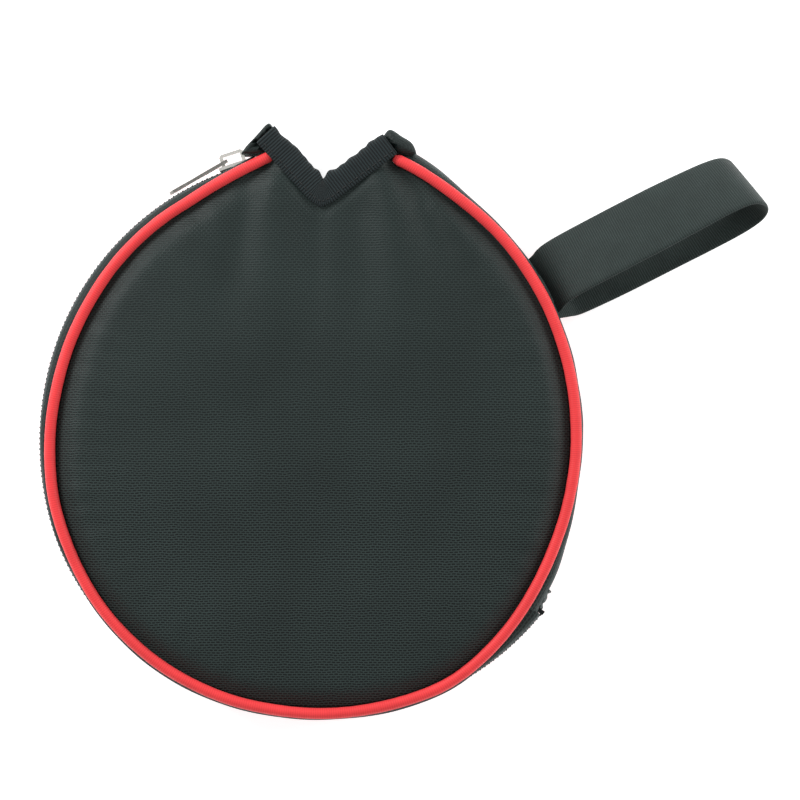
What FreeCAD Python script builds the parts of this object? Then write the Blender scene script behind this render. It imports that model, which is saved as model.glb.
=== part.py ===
import FreeCAD, Part
import math
import os
import Sketcher

V = FreeCAD.Vector
UP = V(0, 0, 1)

# A soft round racket case that lies on its back panel. The origin is on the back face, at the
# centre of the zip's circle; +Z is out of the front panel and +Y is towards the mouth.
DIMENSIONS = {
    "rim_radius": 97.9,        # outer edge of the piping on the zipped side
    "hinge_flatten": 15.1,     # how much larger the radius of the hinge side is
    "hinge_shift": 20.75,      # distance from the zip's centre to the hinge side's centre
    "hinge_bearing": 190.6,    # direction of that centre, degrees
    "corner_radius": 40.0,     # arc that blends the two sides into each other
    "flare_start": 117.3,      # where the rim leaves its circle towards the mouth, degrees
    "case_depth": 36.0,        # back face to front face
    "notch_depth": 7.8,        # rim circle down to the point of the V-shaped mouth
    "notch_left_slope": 48.0,
    "notch_right_slope": 37.0,
    "binding_width": 7.5,
    "binding_thick": 4.8,
    "fabric_thick": 1.0,
    "foam_thick": 3.6,
    "lining_thick": 0.8,
    "piping_size": 4.0,
    "piping_cord_size": 2.2,
    "piping_flange": 0.6,
    "seam_width": 3.0,
    "gusset_thick": 1.1,
    "tape_thick": 0.6,
    "tape_height": 8.0,
    "coil_depth": 2.6,
    "coil_height": 2.7,
    "coil_gap": 1.8,
    "zip_first": 104.0,        # closed end of the zip, degrees
    "zip_last": 320.6,         # open end of the zip, degrees, moved with the corner arc below
    "slider_bearing": 108.0,   # where the slider rests, degrees
    "slider_length": 11.0,
    "slider_plate": 1.1,
    "running_gap": 0.4,
    "bridge_height": 4.2,
    "bridge_width": 1.6,
    "pull_length": 23.0,
    "pull_width": 6.6,
    "pull_thick": 1.0,
    "pull_lean": 12.0,         # how far the resting pull leans in towards the zip, degrees
    "strap_bearing": 29.0,     # where the strap leaves the hinge side, degrees
    "strap_roll": 22.0,        # how far the strap leans over about its own length
    "strap_width": 22.0,
    "strap_thick": 1.4,
    "strap_length": 84.0,
    "strap_gap": 18.0,
    "fold_gap": 0.4,           # between the opening panel and its fixed margin at the fold
}

doc = FreeCAD.newDocument("RacketCase")
sheet = doc.addObject("Spreadsheet::Sheet", "Sizes")
for row, (alias, value) in enumerate(DIMENSIONS.items(), start=1):
    sheet.set("A%d" % row, alias)
    sheet.set("B%d" % row, str(value))
    sheet.setAlias("B%d" % row, alias)
doc.recompute()

NODES = []


def size(alias):
    """Value of one driving dimension."""
    return float(sheet.get(alias))


# ---------------------------------------------------------------- plane geometry of the outline

RIM = size("rim_radius")
HINGE_RIM = RIM + size("hinge_flatten")
ZIP_CENTRE = V(0, 0, 0)
HALF_DEPTH = size("case_depth") / 2
SEAM_GAP = 0.1                  # between layers that are sewn face to face
END_GAP = 0.3                   # between the ends of pieces that meet in line


def polar(centre, radius, bearing):
    """Point at a radius and a bearing in degrees from a centre."""
    turn = math.radians(bearing)
    return centre + V(radius * math.cos(turn), radius * math.sin(turn), 0)


def bearing_of(point, centre):
    """Bearing of a point seen from a centre, in degrees."""
    return math.degrees(math.atan2(point.y - centre.y, point.x - centre.x))


def circles_meet(first, first_radius, second, second_radius, side):
    """One of the two points where two circles cross; side is +1 or -1."""
    gap = second - first
    along = (first_radius ** 2 - second_radius ** 2 + gap.Length ** 2) / (2 * gap.Length)
    across = math.sqrt(first_radius ** 2 - along ** 2)
    ahead = V(gap).normalize()
    return first + ahead * along + V(-ahead.y, ahead.x, 0) * (side * across)


def line_leaves_circle(start, ahead, centre, radius):
    """Point where a ray that starts inside a circle leaves it."""
    offset = start - centre
    half = offset.dot(ahead)
    reach = -half + math.sqrt(half ** 2 - offset.Length ** 2 + radius ** 2)
    return start + ahead * reach


def lines_meet(first, first_way, second, second_way):
    """Point where two lines in the plane cross."""
    gap = second - first
    cross = first_way.x * second_way.y - first_way.y * second_way.x
    return first + first_way * ((gap.x * second_way.y - gap.y * second_way.x) / cross)


HINGE_CENTRE = polar(ZIP_CENTRE, size("hinge_shift"), size("hinge_bearing"))
CORNER = size("corner_radius")
CORNER_CENTRE = circles_meet(ZIP_CENTRE, RIM - CORNER, HINGE_CENTRE, HINGE_RIM - CORNER, 1)
CORNER_FIRST = bearing_of(CORNER_CENTRE, ZIP_CENTRE)
CORNER_LAST = bearing_of(CORNER_CENTRE, HINGE_CENTRE)
FULL_TURN = 360
ZIP_END_GAP = 0.05              # degrees between the zip's open end and the corner arc
sheet.set("zip_last", str(round(CORNER_FIRST + FULL_TURN - ZIP_END_GAP, 3)))
doc.recompute()
GUSSET_START = 3                # degrees of the corner arc before the hinge gusset
FLARE_WAY = polar(V(), 1, size("flare_start") - 90)

LEFT_ARM = polar(V(), 1, 180 - size("notch_left_slope"))
RIGHT_ARM = polar(V(), 1, size("notch_right_slope"))


def notch_point(inset):
    """Point of the mouth's V, moved into the panel by an inset from both arms."""
    opening = 180 - size("notch_left_slope") - size("notch_right_slope")
    middle = (LEFT_ARM + RIGHT_ARM).normalize()
    tip = V(0, RIM - size("notch_depth"), 0)
    return tip - middle * (inset / math.sin(math.radians(opening / 2)))


def left_end(offset, inset):
    """Where the rim at an offset meets the left arm of the mouth."""
    foot = polar(ZIP_CENTRE, RIM + offset, size("flare_start"))
    return lines_meet(foot, FLARE_WAY, notch_point(inset), LEFT_ARM)


def right_end(offset, inset):
    """Where the rim at an offset meets the right arm of the mouth."""
    return line_leaves_circle(notch_point(inset), RIGHT_ARM, HINGE_CENTRE, HINGE_RIM + offset)


# The front opens about a straight fold from the zip's open end to the mouth's right corner.
FOLD_SHARE = 0.15               # how far along the corner arc the fold starts
FOLD_START = polar(CORNER_CENTRE, CORNER,
                   CORNER_FIRST + FOLD_SHARE * (CORNER_LAST - CORNER_FIRST))
FOLD_END = polar(HINGE_CENTRE, HINGE_RIM, bearing_of(right_end(0, size("binding_width")),
                                                     HINGE_CENTRE) - 1.0)
FOLD_WAY = (FOLD_END - FOLD_START).normalize()
FOLD_OUT = V(FOLD_WAY.y, -FOLD_WAY.x, 0)


def fold_low(offset, shift):
    """Where the shifted fold line meets the corner arc at an offset."""
    start = FOLD_END + FOLD_OUT * shift - FOLD_WAY * (FOLD_END - FOLD_START).Length / 2
    return line_leaves_circle(start, -FOLD_WAY, CORNER_CENTRE, CORNER + offset)


def fold_high(offset, shift):
    """Where the shifted fold line meets the hinge side at an offset."""
    start = FOLD_START + FOLD_OUT * shift
    return line_leaves_circle(start, FOLD_WAY, HINGE_CENTRE, HINGE_RIM + offset)


def arc(centre, start, end):
    """Arc about a centre from one point to another, counter-clockwise."""
    first = math.radians(bearing_of(start, centre))
    last = math.radians(bearing_of(end, centre))
    if last < first:
        last += 2 * math.pi
    return Part.ArcOfCircle(Part.Circle(V(centre), UP, (start - centre).Length), first, last)


def line(start, end):
    return Part.LineSegment(V(start), V(end))


def zipped_side(offset, inset, flared):
    """Rim from the mouth's left arm, round the zipped side, to the corner arc."""
    corner_foot = polar(ZIP_CENTRE, RIM + offset, CORNER_FIRST)
    if not flared:
        start = line_leaves_circle(notch_point(inset), LEFT_ARM, ZIP_CENTRE, RIM + offset)
        return [arc(ZIP_CENTRE, start, corner_foot)]
    flare_foot = polar(ZIP_CENTRE, RIM + offset, size("flare_start"))
    return [line(left_end(offset, inset), flare_foot), arc(ZIP_CENTRE, flare_foot, corner_foot)]


def whole_rim(offset, inset, flared=True):
    """Rim from the mouth's left arm round to its right arm."""
    corner_foot = polar(ZIP_CENTRE, RIM + offset, CORNER_FIRST)
    hinge_foot = polar(HINGE_CENTRE, HINGE_RIM + offset, CORNER_LAST)
    return zipped_side(offset, inset, flared) + [
        arc(CORNER_CENTRE, corner_foot, hinge_foot),
        arc(HINGE_CENTRE, hinge_foot, right_end(offset, inset)),
    ]


def opening_rim(offset, inset, flared=True):
    """Rim of the opening front, from the mouth's left arm to the fold."""
    corner_foot = polar(ZIP_CENTRE, RIM + offset, CORNER_FIRST)
    low = fold_low(offset, -size("fold_gap") / 2)
    return zipped_side(offset, inset, flared) + [arc(CORNER_CENTRE, corner_foot, low)]


def margin_rim(offset, inset, flared=True):
    """Rim of the fixed front margin, from one end of the fold to the other."""
    shift = size("fold_gap") / 2
    hinge_foot = polar(HINGE_CENTRE, HINGE_RIM + offset, CORNER_LAST)
    return [arc(CORNER_CENTRE, fold_low(offset, shift), hinge_foot),
            arc(HINGE_CENTRE, hinge_foot, fold_high(offset, shift))]


def gusset_rim(offset, inset, flared=True):
    """Rim of the plain gusset, from the zip's open end to the mouth's right arm."""
    start = polar(CORNER_CENTRE, CORNER + offset, CORNER_FIRST + GUSSET_START)
    hinge_foot = polar(HINGE_CENTRE, HINGE_RIM + offset, CORNER_LAST)
    return [arc(CORNER_CENTRE, start, hinge_foot),
            arc(HINGE_CENTRE, hinge_foot, right_end(offset, inset))]


def start_of(edge):
    return edge.value(edge.FirstParameter)


def end_of(edge):
    return edge.value(edge.LastParameter)


def panel_outline(rim, offset, inset):
    """Closed outline of a panel: its rim and the mouth's V or the fold."""
    edges = rim(offset, inset)
    if rim is margin_rim:
        return edges + [line(end_of(edges[-1]), start_of(edges[0]))]
    mouth_right = right_end(offset, inset)
    if rim is opening_rim:
        high = fold_high(offset, -size("fold_gap") / 2)
        edges += [line(end_of(edges[-1]), high), arc(HINGE_CENTRE, high, mouth_right)]
    tip = notch_point(inset)
    return edges + [line(mouth_right, tip), line(tip, start_of(edges[0]))]


def band_outline(rim, outer, inner, inset):
    """Closed outline of a band inside the gusset, between two offsets from the rim."""
    outside = rim(outer, inset, False)
    inside = rim(inner, inset, False)
    return outside + [line(end_of(outside[-1]), end_of(inside[-1]))] + inside[::-1] + [
        line(start_of(inside[0]), start_of(outside[0]))]


# ---------------------------------------------------------------- document helpers

def new_body(name):
    body = doc.addObject("PartDesign::Body", name)
    body.Label = name
    NODES.append(body)
    return body


def plane_of(body, role):
    return next(item for item in body.Origin.OriginFeatures if item.Role == role)


def new_sketch(body, name, edges, role="XY_Plane"):
    """Sketch on one of the body's own planes."""
    sketch = body.newObject("Sketcher::SketchObject", name)
    sketch.AttachmentSupport = (plane_of(body, role), [""])
    sketch.MapMode = "FlatFace"
    sketch.addGeometry(edges, False)
    return sketch


def pad(body, sketch, length, midplane=False):
    """Pad of a sketch; length is an expression in the sheet's values."""
    feature = body.newObject("PartDesign::Pad", sketch.Name + "Pad")
    feature.Profile = sketch
    feature.Midplane = midplane
    feature.setExpression("Length", length)
    return feature


def layer(name, edges, low, thickness):
    """Flat layer: an outline padded upwards from a level."""
    body = new_body(name)
    sketch = new_sketch(body, name + "Outline", edges)
    sketch.setExpression(".AttachmentOffset.Base.z", low)
    pad(body, sketch, thickness)
    return body


def box_sketch(body, name, left, right, low, high):
    """Rectangle in the XZ plane whose four sides are bound to the sheet."""
    corners = [V(1, 1, 0), V(2, 1, 0), V(2, 2, 0), V(1, 2, 0)]
    edges = [line(corners[i], corners[(i + 1) % 4]) for i in range(4)]
    sketch = new_sketch(body, name, edges, "XZ_Plane")
    for i in range(4):
        sketch.addConstraint(Sketcher.Constraint("Coincident", i, 2, (i + 1) % 4, 1))
    for i in (0, 2):
        sketch.addConstraint(Sketcher.Constraint("Horizontal", i))
    for i in (1, 3):
        sketch.addConstraint(Sketcher.Constraint("Vertical", i))
    bounds = (("DistanceX", 0, 1, left), ("DistanceX", 1, 1, right),
              ("DistanceY", 0, 1, low), ("DistanceY", 2, 1, high))
    for kind, edge, end, expression in bounds:
        number = sketch.addConstraint(Sketcher.Constraint(kind, -1, 1, edge, end, 1.0))
        sketch.setExpression("Constraints[%d]" % number, expression)
    return sketch


def revolve(body, name, left, right, low, high, angle):
    """Rectangle between two radii and two levels, turned about the Z axis from the XZ plane."""
    sketch = box_sketch(body, name, left, right, low, high)
    feature = body.newObject("PartDesign::Revolution", name + "Turn")
    feature.Profile = sketch
    feature.ReferenceAxis = (plane_of(body, "Z_Axis"), [""])
    feature.setExpression("Angle", angle)
    return feature


def turn_about_z(body, bearing):
    """Turn a finished body about the zip's centre; bearing is an expression in degrees."""
    body.setExpression(".Placement.Rotation.Angle", bearing)


class Side:
    """One face of the case; levels are counted inwards from its own outer face."""

    def __init__(self, name, mirrored):
        self.name = name
        self.mirrored = mirrored

    def level(self, depth, thickness="0"):
        """Expression for the low side of something at a depth with a thickness."""
        if self.mirrored:
            return "Sizes.case_depth - (%s) - (%s)" % (depth, thickness)
        return depth

    def height(self, depth):
        """Number for a level at a depth."""
        return size("case_depth") - depth if self.mirrored else depth


BACK = Side("back", False)
FRONT = Side("front", True)
FABRIC = "Sizes.fabric_thick"
FOAM = "Sizes.foam_thick"
LINING = "Sizes.lining_thick"
PADDING_LAP = 1.0               # how far the padding reaches into the seam's width
FLANGE_SHORT = 1.2              # how far the piping's flange stops short of the seam's width
CORD_CLEARANCE = 0.05           # between the piping's cord and its sleeve


# ---------------------------------------------------------------- padded panels

def make_panel(side, suffix, rim):
    """Outer cloth, foam and lining of one panel or of one part of it."""
    piping = size("piping_size")
    inset = size("binding_width") + SEAM_GAP
    outer = panel_outline(rim, -piping + SEAM_GAP, inset)
    padding = panel_outline(rim, -piping - size("seam_width") + PADDING_LAP, inset)
    layer(side.name + "_panel" + suffix, outer, side.level("0", FABRIC), FABRIC)
    layer(side.name + "_foam" + suffix, padding, side.level(FABRIC, FOAM), FOAM)
    layer(side.name + "_lining" + suffix, padding,
          side.level(FABRIC + " + " + FOAM, LINING), LINING)


def make_seam_binding(side, suffix, rim):
    """Folded tape over the raw edges of the seam, inside the case."""
    outer = -size("gusset_thick") + END_GAP
    edges = band_outline(rim, outer, outer - size("seam_width"), size("binding_width") + SEAM_GAP)
    width = "Sizes.seam_width"
    depth = "Sizes.fabric_thick + max(Sizes.piping_size; Sizes.foam_thick + Sizes.lining_thick)"
    start = side.level("%s + %s" % (depth, SEAM_GAP), width)
    layer(side.name + "_seam_binding" + suffix, edges, start, width)


def piping_profile(side):
    """Keyhole section of the piping: a round tube with a flange towards the panel."""
    radius = size("piping_size") / 2
    flange = size("piping_flange")
    reach = radius + size("seam_width") - FLANGE_SHORT
    sign = -1 if side.mirrored else 1
    low = -radius * sign
    high = (-radius + flange) * sign
    root = math.sqrt(radius ** 2 - (radius - flange) ** 2)
    tube_bottom = V(0, low, 0)
    flange_top = V(root, high, 0)
    round_part = Part.Arc(tube_bottom, V(-radius, 0, 0), V(0, -low, 0))
    shoulder = Part.Arc(V(0, -low, 0), V(radius, 0, 0), flange_top)
    return [round_part, shoulder, line(flange_top, V(reach, high, 0)),
            line(V(reach, high, 0), V(reach, low, 0)), line(V(reach, low, 0), tube_bottom)]


def sweep_along(name, path_edges, section_edges, level):
    """Section swept along a rim path; the section's X axis points into the case."""
    path = doc.addObject("Sketcher::SketchObject", name + "Path")
    path.addGeometry(path_edges, False)
    path.Placement.Base = V(0, 0, level)
    section = doc.addObject("Sketcher::SketchObject", name + "Section")
    section.addGeometry(section_edges, False)
    first = path_edges[0]
    ahead = first.tangent(first.FirstParameter)[0]
    inwards = V(-ahead.y, ahead.x, 0)
    turn = FreeCAD.Rotation(inwards, UP, ahead, "XYZ")
    section.Placement = FreeCAD.Placement(start_of(first) + V(0, 0, level), turn)
    doc.recompute()
    sweep = doc.addObject("Part::Sweep", name + "Sweep")
    sweep.Sections = [section]
    sweep.Spine = (path, ["Edge%d" % (i + 1) for i in range(len(path_edges))])
    sweep.Solid = True
    sweep.Frenet = False
    return sweep


def make_piping(side, suffix, rim):
    """Fabric piping and the round cord inside it."""
    radius = size("piping_size") / 2
    core = size("piping_cord_size") / 2
    level = side.height(size("fabric_thick") + radius)
    path = rim(-radius, size("binding_width") + SEAM_GAP + radius / 2)
    name = side.name + "_piping" + suffix
    cover = sweep_along(name + "_cover", path, piping_profile(side), level)
    hole = sweep_along(name + "_hole", path, [Part.Circle(V(), UP, core + CORD_CLEARANCE)], level)
    sleeve = doc.addObject("Part::Cut", name)
    sleeve.Base = cover
    sleeve.Tool = hole
    sleeve.Label = name
    cord = sweep_along(name + "_cord", path, [Part.Circle(V(), UP, core)], level)
    cord.Label = name + "_cord"
    NODES.extend([sleeve, cord])


def make_notch_binding(side):
    """Ribbon folded over the V-shaped edge of one panel at the mouth."""
    width = size("binding_width")
    free_tip = notch_point(0)
    hem_tip = notch_point(width)
    hem_left = left_end(0, width)
    free_left = left_end(0, 0)
    free_right = right_end(0, 0)
    hem_right = right_end(0, width)
    edges = [line(free_tip, free_left), line(free_left, hem_left), line(hem_left, hem_tip),
             line(hem_tip, hem_right), arc(HINGE_CENTRE, hem_right, free_right),
             line(free_right, free_tip)]
    thick = "Sizes.binding_thick"
    layer(side.name + "_mouth_binding", edges, side.level(str(SEAM_GAP), thick), thick)


# ---------------------------------------------------------------- gusset and zip

ZIP_SWEEP = "Sizes.zip_last - Sizes.zip_first"
COIL_INNER = "Sizes.rim_radius - Sizes.gusset_thick / 2"
TAPE_OUTER = "%s - %s" % (COIL_INNER, SEAM_GAP)
MIDDLE = "Sizes.case_depth / 2"
STRIP_SHORT = 1.8               # how far the gusset strip's folded edge stops short of the coil
GUSSET_SHARE = 0.7              # share of the ribbon's width that the hinge gusset stops short
STOP_PROUD = (0.3, 0.2)         # how far the crimped stop reaches inside and outside the coil
STOP_LENGTH = 1.55
STOP_CLEARANCE = 0.34           # between the coil's end and its stop
STOP_TURN = round(math.degrees(STOP_LENGTH / RIM), 3)
STOP_GAP = round(math.degrees(STOP_CLEARANCE / RIM), 3)
TAB_THICK = 1.0
TAB_START = 3.5                 # degrees of the corner arc left free before the tab
TAB_SHARE = 4                   # height of the tab over the height of one coil


def make_zip_side(side):
    """Cloth strip, woven tape and coil of one half of the zip."""
    strip = new_body(side.name + "_gusset_strip")
    low = "Sizes.fabric_thick + Sizes.piping_size"
    high = MIDDLE + " - Sizes.coil_gap / 2 - Sizes.coil_height - %s" % STRIP_SHORT
    revolve(strip, strip.Name + "Section", COIL_INNER, COIL_INNER + " + Sizes.gusset_thick",
            side.level(low) if not side.mirrored else side.level(high),
            side.level(high) if not side.mirrored else side.level(low), ZIP_SWEEP)
    tape = new_body("zip_tape_" + side.name)
    edge = MIDDLE + " - Sizes.coil_gap / 2"
    foot = edge + " - Sizes.tape_height"
    revolve(tape, tape.Name + "Section", TAPE_OUTER + " - Sizes.tape_thick",
            TAPE_OUTER, side.level(foot) if not side.mirrored else side.level(edge),
            side.level(edge) if not side.mirrored else side.level(foot), ZIP_SWEEP)
    coil = new_body("zip_coil_" + side.name)
    root = edge + " - Sizes.coil_height"
    revolve(coil, coil.Name + "Section", COIL_INNER, COIL_INNER + " + Sizes.coil_depth",
            side.level(root) if not side.mirrored else side.level(edge),
            side.level(edge) if not side.mirrored else side.level(root), ZIP_SWEEP)
    for body in (strip, tape, coil):
        turn_about_z(body, "Sizes.zip_first")


def make_hinge_gusset():
    """Plain gusset of the hinge side, whole from piping to piping."""
    outer = -size("gusset_thick") / 2 + size("gusset_thick")
    edges = band_outline(gusset_rim, outer, -size("gusset_thick") / 2,
                         size("binding_width") * GUSSET_SHARE)
    margin = "Sizes.fabric_thick + Sizes.piping_size"
    layer("hinge_gusset", edges, margin, "Sizes.case_depth - 2 * (%s)" % margin)


def make_zip_end():
    """Crimped stop on the open end of the zip and the cloth tab sewn over it."""
    stop = new_body("zip_bottom_stop")
    half = "(Sizes.coil_gap / 2 + Sizes.coil_height)"
    revolve(stop, "StopSection", COIL_INNER + " - %s" % STOP_PROUD[0],
            COIL_INNER + " + Sizes.coil_depth + %s" % STOP_PROUD[1],
            MIDDLE + " - " + half, MIDDLE + " + " + half, str(STOP_TURN))
    turn_about_z(stop, "Sizes.zip_last + %s" % STOP_GAP)
    tab = new_body("zip_end_tab")
    offset = size("gusset_thick") / 2 + SEAM_GAP
    outline = []
    for edge_offset in (offset + TAB_THICK, offset):
        first = polar(CORNER_CENTRE, CORNER + edge_offset, CORNER_FIRST + TAB_START)
        last = polar(CORNER_CENTRE, CORNER + edge_offset, CORNER_LAST)
        outline.append(arc(CORNER_CENTRE, first, last))
    outer, inner = outline
    edges = [outer, line(end_of(outer), end_of(inner)), inner, line(start_of(inner),
                                                                  start_of(outer))]
    sketch = new_sketch(tab, "TabOutline", edges)
    sketch.setExpression(".AttachmentOffset.Base.z", MIDDLE)
    pad(tab, sketch, "Sizes.coil_height * %d" % TAB_SHARE, midplane=True)


def make_top_stops():
    """One small metal stop on each coil at the mouth end of the zip."""
    for side in (BACK, FRONT):
        stop = new_body("zip_top_stop_" + side.name)
        edge = MIDDLE + " - Sizes.coil_gap / 2"
        root = edge + " - Sizes.coil_height"
        revolve(stop, stop.Name + "Section", COIL_INNER, COIL_INNER + " + Sizes.coil_depth",
                side.level(root) if not side.mirrored else side.level(edge),
                side.level(edge) if not side.mirrored else side.level(root), str(STOP_TURN))
        turn_about_z(stop, "Sizes.zip_first - %s" % (STOP_TURN + STOP_GAP))


def fold_wall(points, thickness):
    """Outline of a thin wall whose left face runs through a list of points."""
    first, peak, last = points
    ways = [(peak - first).normalize(), (last - peak).normalize()]
    normals = [V(way.y, -way.x, 0) for way in ways]
    inner_first = first + normals[0] * thickness
    inner_last = last + normals[1] * thickness
    inner_peak = lines_meet(inner_first, ways[0], inner_last, ways[1])
    corners = [first, peak, last, inner_last, inner_peak, inner_first]
    return [line(corners[i], corners[(i + 1) % 6]) for i in range(6)]


FOLD_WALL = 1.6
BEAK = 7.5                      # how far the gusset's folded end stands past the corner
BEAK_GAP = 1.0                  # between the ribbon's end and the fold
PEAK_LEAN = V(-2, 0, 0)         # how far the left fold's peak leans back over the zip
HINGE_FOLD = 12                 # degrees of the hinge side that the right fold lies over
ZIP_FOLD = 1.3                  # degrees between the left fold's foot and the zip


def make_mouth_ends():
    """Folded, bound ends of the gusset that stand out as beaks on both sides of the mouth."""
    margin = size("fabric_thick") + size("binding_thick")
    left_corner = left_end(-1, 0) + LEFT_ARM * BEAK_GAP
    left = [polar(ZIP_CENTRE, RIM, size("zip_first") - ZIP_FOLD),
            left_corner + LEFT_ARM * BEAK + PEAK_LEAN, left_corner]
    for side in (BACK, FRONT):
        height = HALF_DEPTH - margin - END_GAP
        layer("mouth_end_" + side.name, fold_wall(left, FOLD_WALL),
              side.level(str(margin), str(height)), str(height))
    right_corner = right_end(1, 0) + RIGHT_ARM * BEAK_GAP
    hinge_top = bearing_of(right_end(0, 0), HINGE_CENTRE)
    right = [right_corner, right_corner + RIGHT_ARM * BEAK,
             polar(HINGE_CENTRE, HINGE_RIM + size("gusset_thick") / 2 + FOLD_WALL + SEAM_GAP,
                   hinge_top - HINGE_FOLD)]
    layer("mouth_end_hinge", fold_wall(right, FOLD_WALL), str(margin),
          "Sizes.case_depth - 2 * %s" % margin)


# ---------------------------------------------------------------- slider and pull tab

PLATE_INNER = COIL_INNER + " + Sizes.coil_depth + Sizes.running_gap"
CHAIN_HALF = "(Sizes.coil_gap / 2 + Sizes.coil_height)"
FLANGE_GAPS = 2.5               # width of the slider's side flange, in running gaps
POST_TURN = 0.9                 # degrees that the post at the slider's nose takes up
FLANGE_DEPTH = 1.4
SLIDER_HALF = "(%s + Sizes.running_gap * %s)" % (CHAIN_HALF, FLANGE_GAPS)
SLIDER_TURN = "Sizes.slider_length / Sizes.rim_radius * 180 / pi"
TAIL_TURN = "(Sizes.slider_bearing - (%s) / 2)" % SLIDER_TURN


def make_slider_body():
    """Outer and inner plate joined by the post at the nose, with one side flange.

    The flange on the front half's side is left out, so that the front lifts off the slider.
    """
    body = new_body("slider_body")
    outer = PLATE_INNER + " + Sizes.slider_plate"
    tape_face = TAPE_OUTER + " - Sizes.tape_thick - Sizes.running_gap"
    inner = tape_face + " - Sizes.slider_plate"
    low = MIDDLE + " - " + SLIDER_HALF
    high = MIDDLE + " + " + SLIDER_HALF
    revolve(body, "OuterPlate", PLATE_INNER, outer, low, high, SLIDER_TURN)
    revolve(body, "Post", inner, outer, MIDDLE + " - Sizes.coil_gap / 2 + Sizes.running_gap",
            MIDDLE + " + Sizes.coil_gap / 2 - Sizes.running_gap", str(POST_TURN))
    revolve(body, "InnerPlate", inner, tape_face, MIDDLE + " - " + CHAIN_HALF,
            MIDDLE + " + " + CHAIN_HALF, SLIDER_TURN)
    revolve(body, "Flange", PLATE_INNER + " - %s" % FLANGE_DEPTH, PLATE_INNER, low,
            MIDDLE + " - %s - Sizes.running_gap" % CHAIN_HALF, SLIDER_TURN)
    turn_about_z(body, TAIL_TURN)


BRIDGE_SHARE = 0.4              # half the bridge's length over the slider's length
BRIDGE_POST = 1.3
BRIDGE_BAR = 1.1
BRIDGE_CORNER = 0.8


def bridge_levels():
    """Radii of the bridge's foot, the underside of its bar and its top."""
    foot = RIM - size("gusset_thick") / 2 + size("coil_depth") + size("running_gap")
    foot += size("slider_plate")
    top = foot + size("bridge_height")
    return foot, top - BRIDGE_BAR, top


def make_bridge():
    """Arched bridge on the slider's outer plate that holds the pull tab."""
    foot, underside, top = bridge_levels()
    tail = size("slider_length") * BRIDGE_SHARE
    nose = -tail
    inside = tail - BRIDGE_POST
    shoulder = top - BRIDGE_CORNER
    body = new_body("slider_bridge")
    corners = [V(foot, nose, 0), V(shoulder, nose, 0), V(top, nose + BRIDGE_CORNER, 0),
               V(top, tail - BRIDGE_CORNER, 0), V(shoulder, tail, 0), V(foot, tail, 0),
               V(foot, inside, 0), V(underside, inside, 0),
               V(underside, -inside, 0), V(foot, -inside, 0)]
    edges = [line(corners[i], corners[(i + 1) % len(corners)]) for i in range(len(corners))]
    sketch = new_sketch(body, "BridgeOutline", edges)
    sketch.setExpression(".AttachmentOffset.Base.z", MIDDLE)
    pad(body, sketch, "Sizes.bridge_width", midplane=True)
    turn_about_z(body, "Sizes.slider_bearing")


PULL_WAIST = 0.62               # width of the pull's stem over its full width
PULL_CORNER = 1.5
SLOT_GAP = 0.45                 # between the bridge and the sides of the pull's eye
SLOT_SHARE = 0.37               # length of the eye over the length of the pull
NECK_SHARE = 0.43               # where the stem starts, over the length of the pull
STEM_SHARE = 0.65               # where the stem ends
HOLE_SIZE = 1.3                 # radius of the small hole in the tip
HOLE_FROM_END = 3.6


def pull_pivot():
    """Radius and side position of the pull's swing axis, under the bridge's bar."""
    foot, underside, top = bridge_levels()
    inside = size("slider_length") * BRIDGE_SHARE - BRIDGE_POST
    return (foot + underside) / 2, inside - size("pull_thick") / 2 - size("running_gap") / 2


def make_pull_tab():
    """Flat metal pull: an eye that passes under the bridge, a stem and a wider tip."""
    body = new_body("pull_tab")
    half = size("pull_width") / 2
    end = size("pull_length")
    bar = size("pull_thick") / 2
    neck = end * NECK_SHARE
    stem = end * STEM_SHARE
    shoulder = end - PULL_CORNER
    waist = half * PULL_WAIST
    left = [V(-bar, -half, 0), V(neck, -half, 0), V(neck + 2 * PULL_CORNER, -waist, 0),
            V(stem, -waist, 0), V(stem + 2 * PULL_CORNER, -half, 0), V(shoulder, -half, 0)]
    tip_arc = Part.Arc(left[-1], V(end, 0, 0), V(shoulder, half, 0))
    right = [V(p.x, -p.y, 0) for p in left[::-1]]
    edges = [line(first, last) for first, last in zip(left, left[1:])] + [tip_arc]
    edges += [line(first, last) for first, last in zip(right, right[1:])]
    edges.append(line(right[-1], left[0]))
    slot = size("bridge_width") / 2 + SLOT_GAP
    slot_end = end * SLOT_SHARE
    corners = [V(bar, -slot, 0), V(slot_end, -slot, 0), V(slot_end, slot, 0), V(bar, slot, 0)]
    edges += [line(corners[i], corners[(i + 1) % 4]) for i in range(4)]
    edges.append(Part.Circle(V(end - HOLE_FROM_END, 0, 0), UP, HOLE_SIZE))
    sketch = new_sketch(body, "PullOutline", edges, "YZ_Plane")
    radius, aside = pull_pivot()
    lean = FreeCAD.Rotation(V(0, 1, 0), size("pull_lean"))
    sketch.AttachmentOffset = FreeCAD.Placement(V(aside, HALF_DEPTH, radius), lean)
    sketch.setExpression(".AttachmentOffset.Rotation.Angle", "Sizes.pull_lean")
    pad(body, sketch, "Sizes.pull_thick", midplane=True)
    turn_about_z(body, "Sizes.slider_bearing")


# ---------------------------------------------------------------- wrist strap

STRAP_ROOT = 3.0                # from the gusset's face to the strap's hinge line
PLY_GAP = 0.1
SHOULDER_RUN = 1.5              # how much longer than high the strap's shoulder is
SHOULDER_SHIFT = 0.6            # between the outer and the inner shoulder
LIP = 2.4                       # from the strap's hinge line to where its plies part
FLOOR_GAP = 0.05
ANCHOR_REACH = 7.0
ANCHOR_FACES = (0.12, 1.2)      # inner and outer face of the anchor, from the gusset


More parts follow.
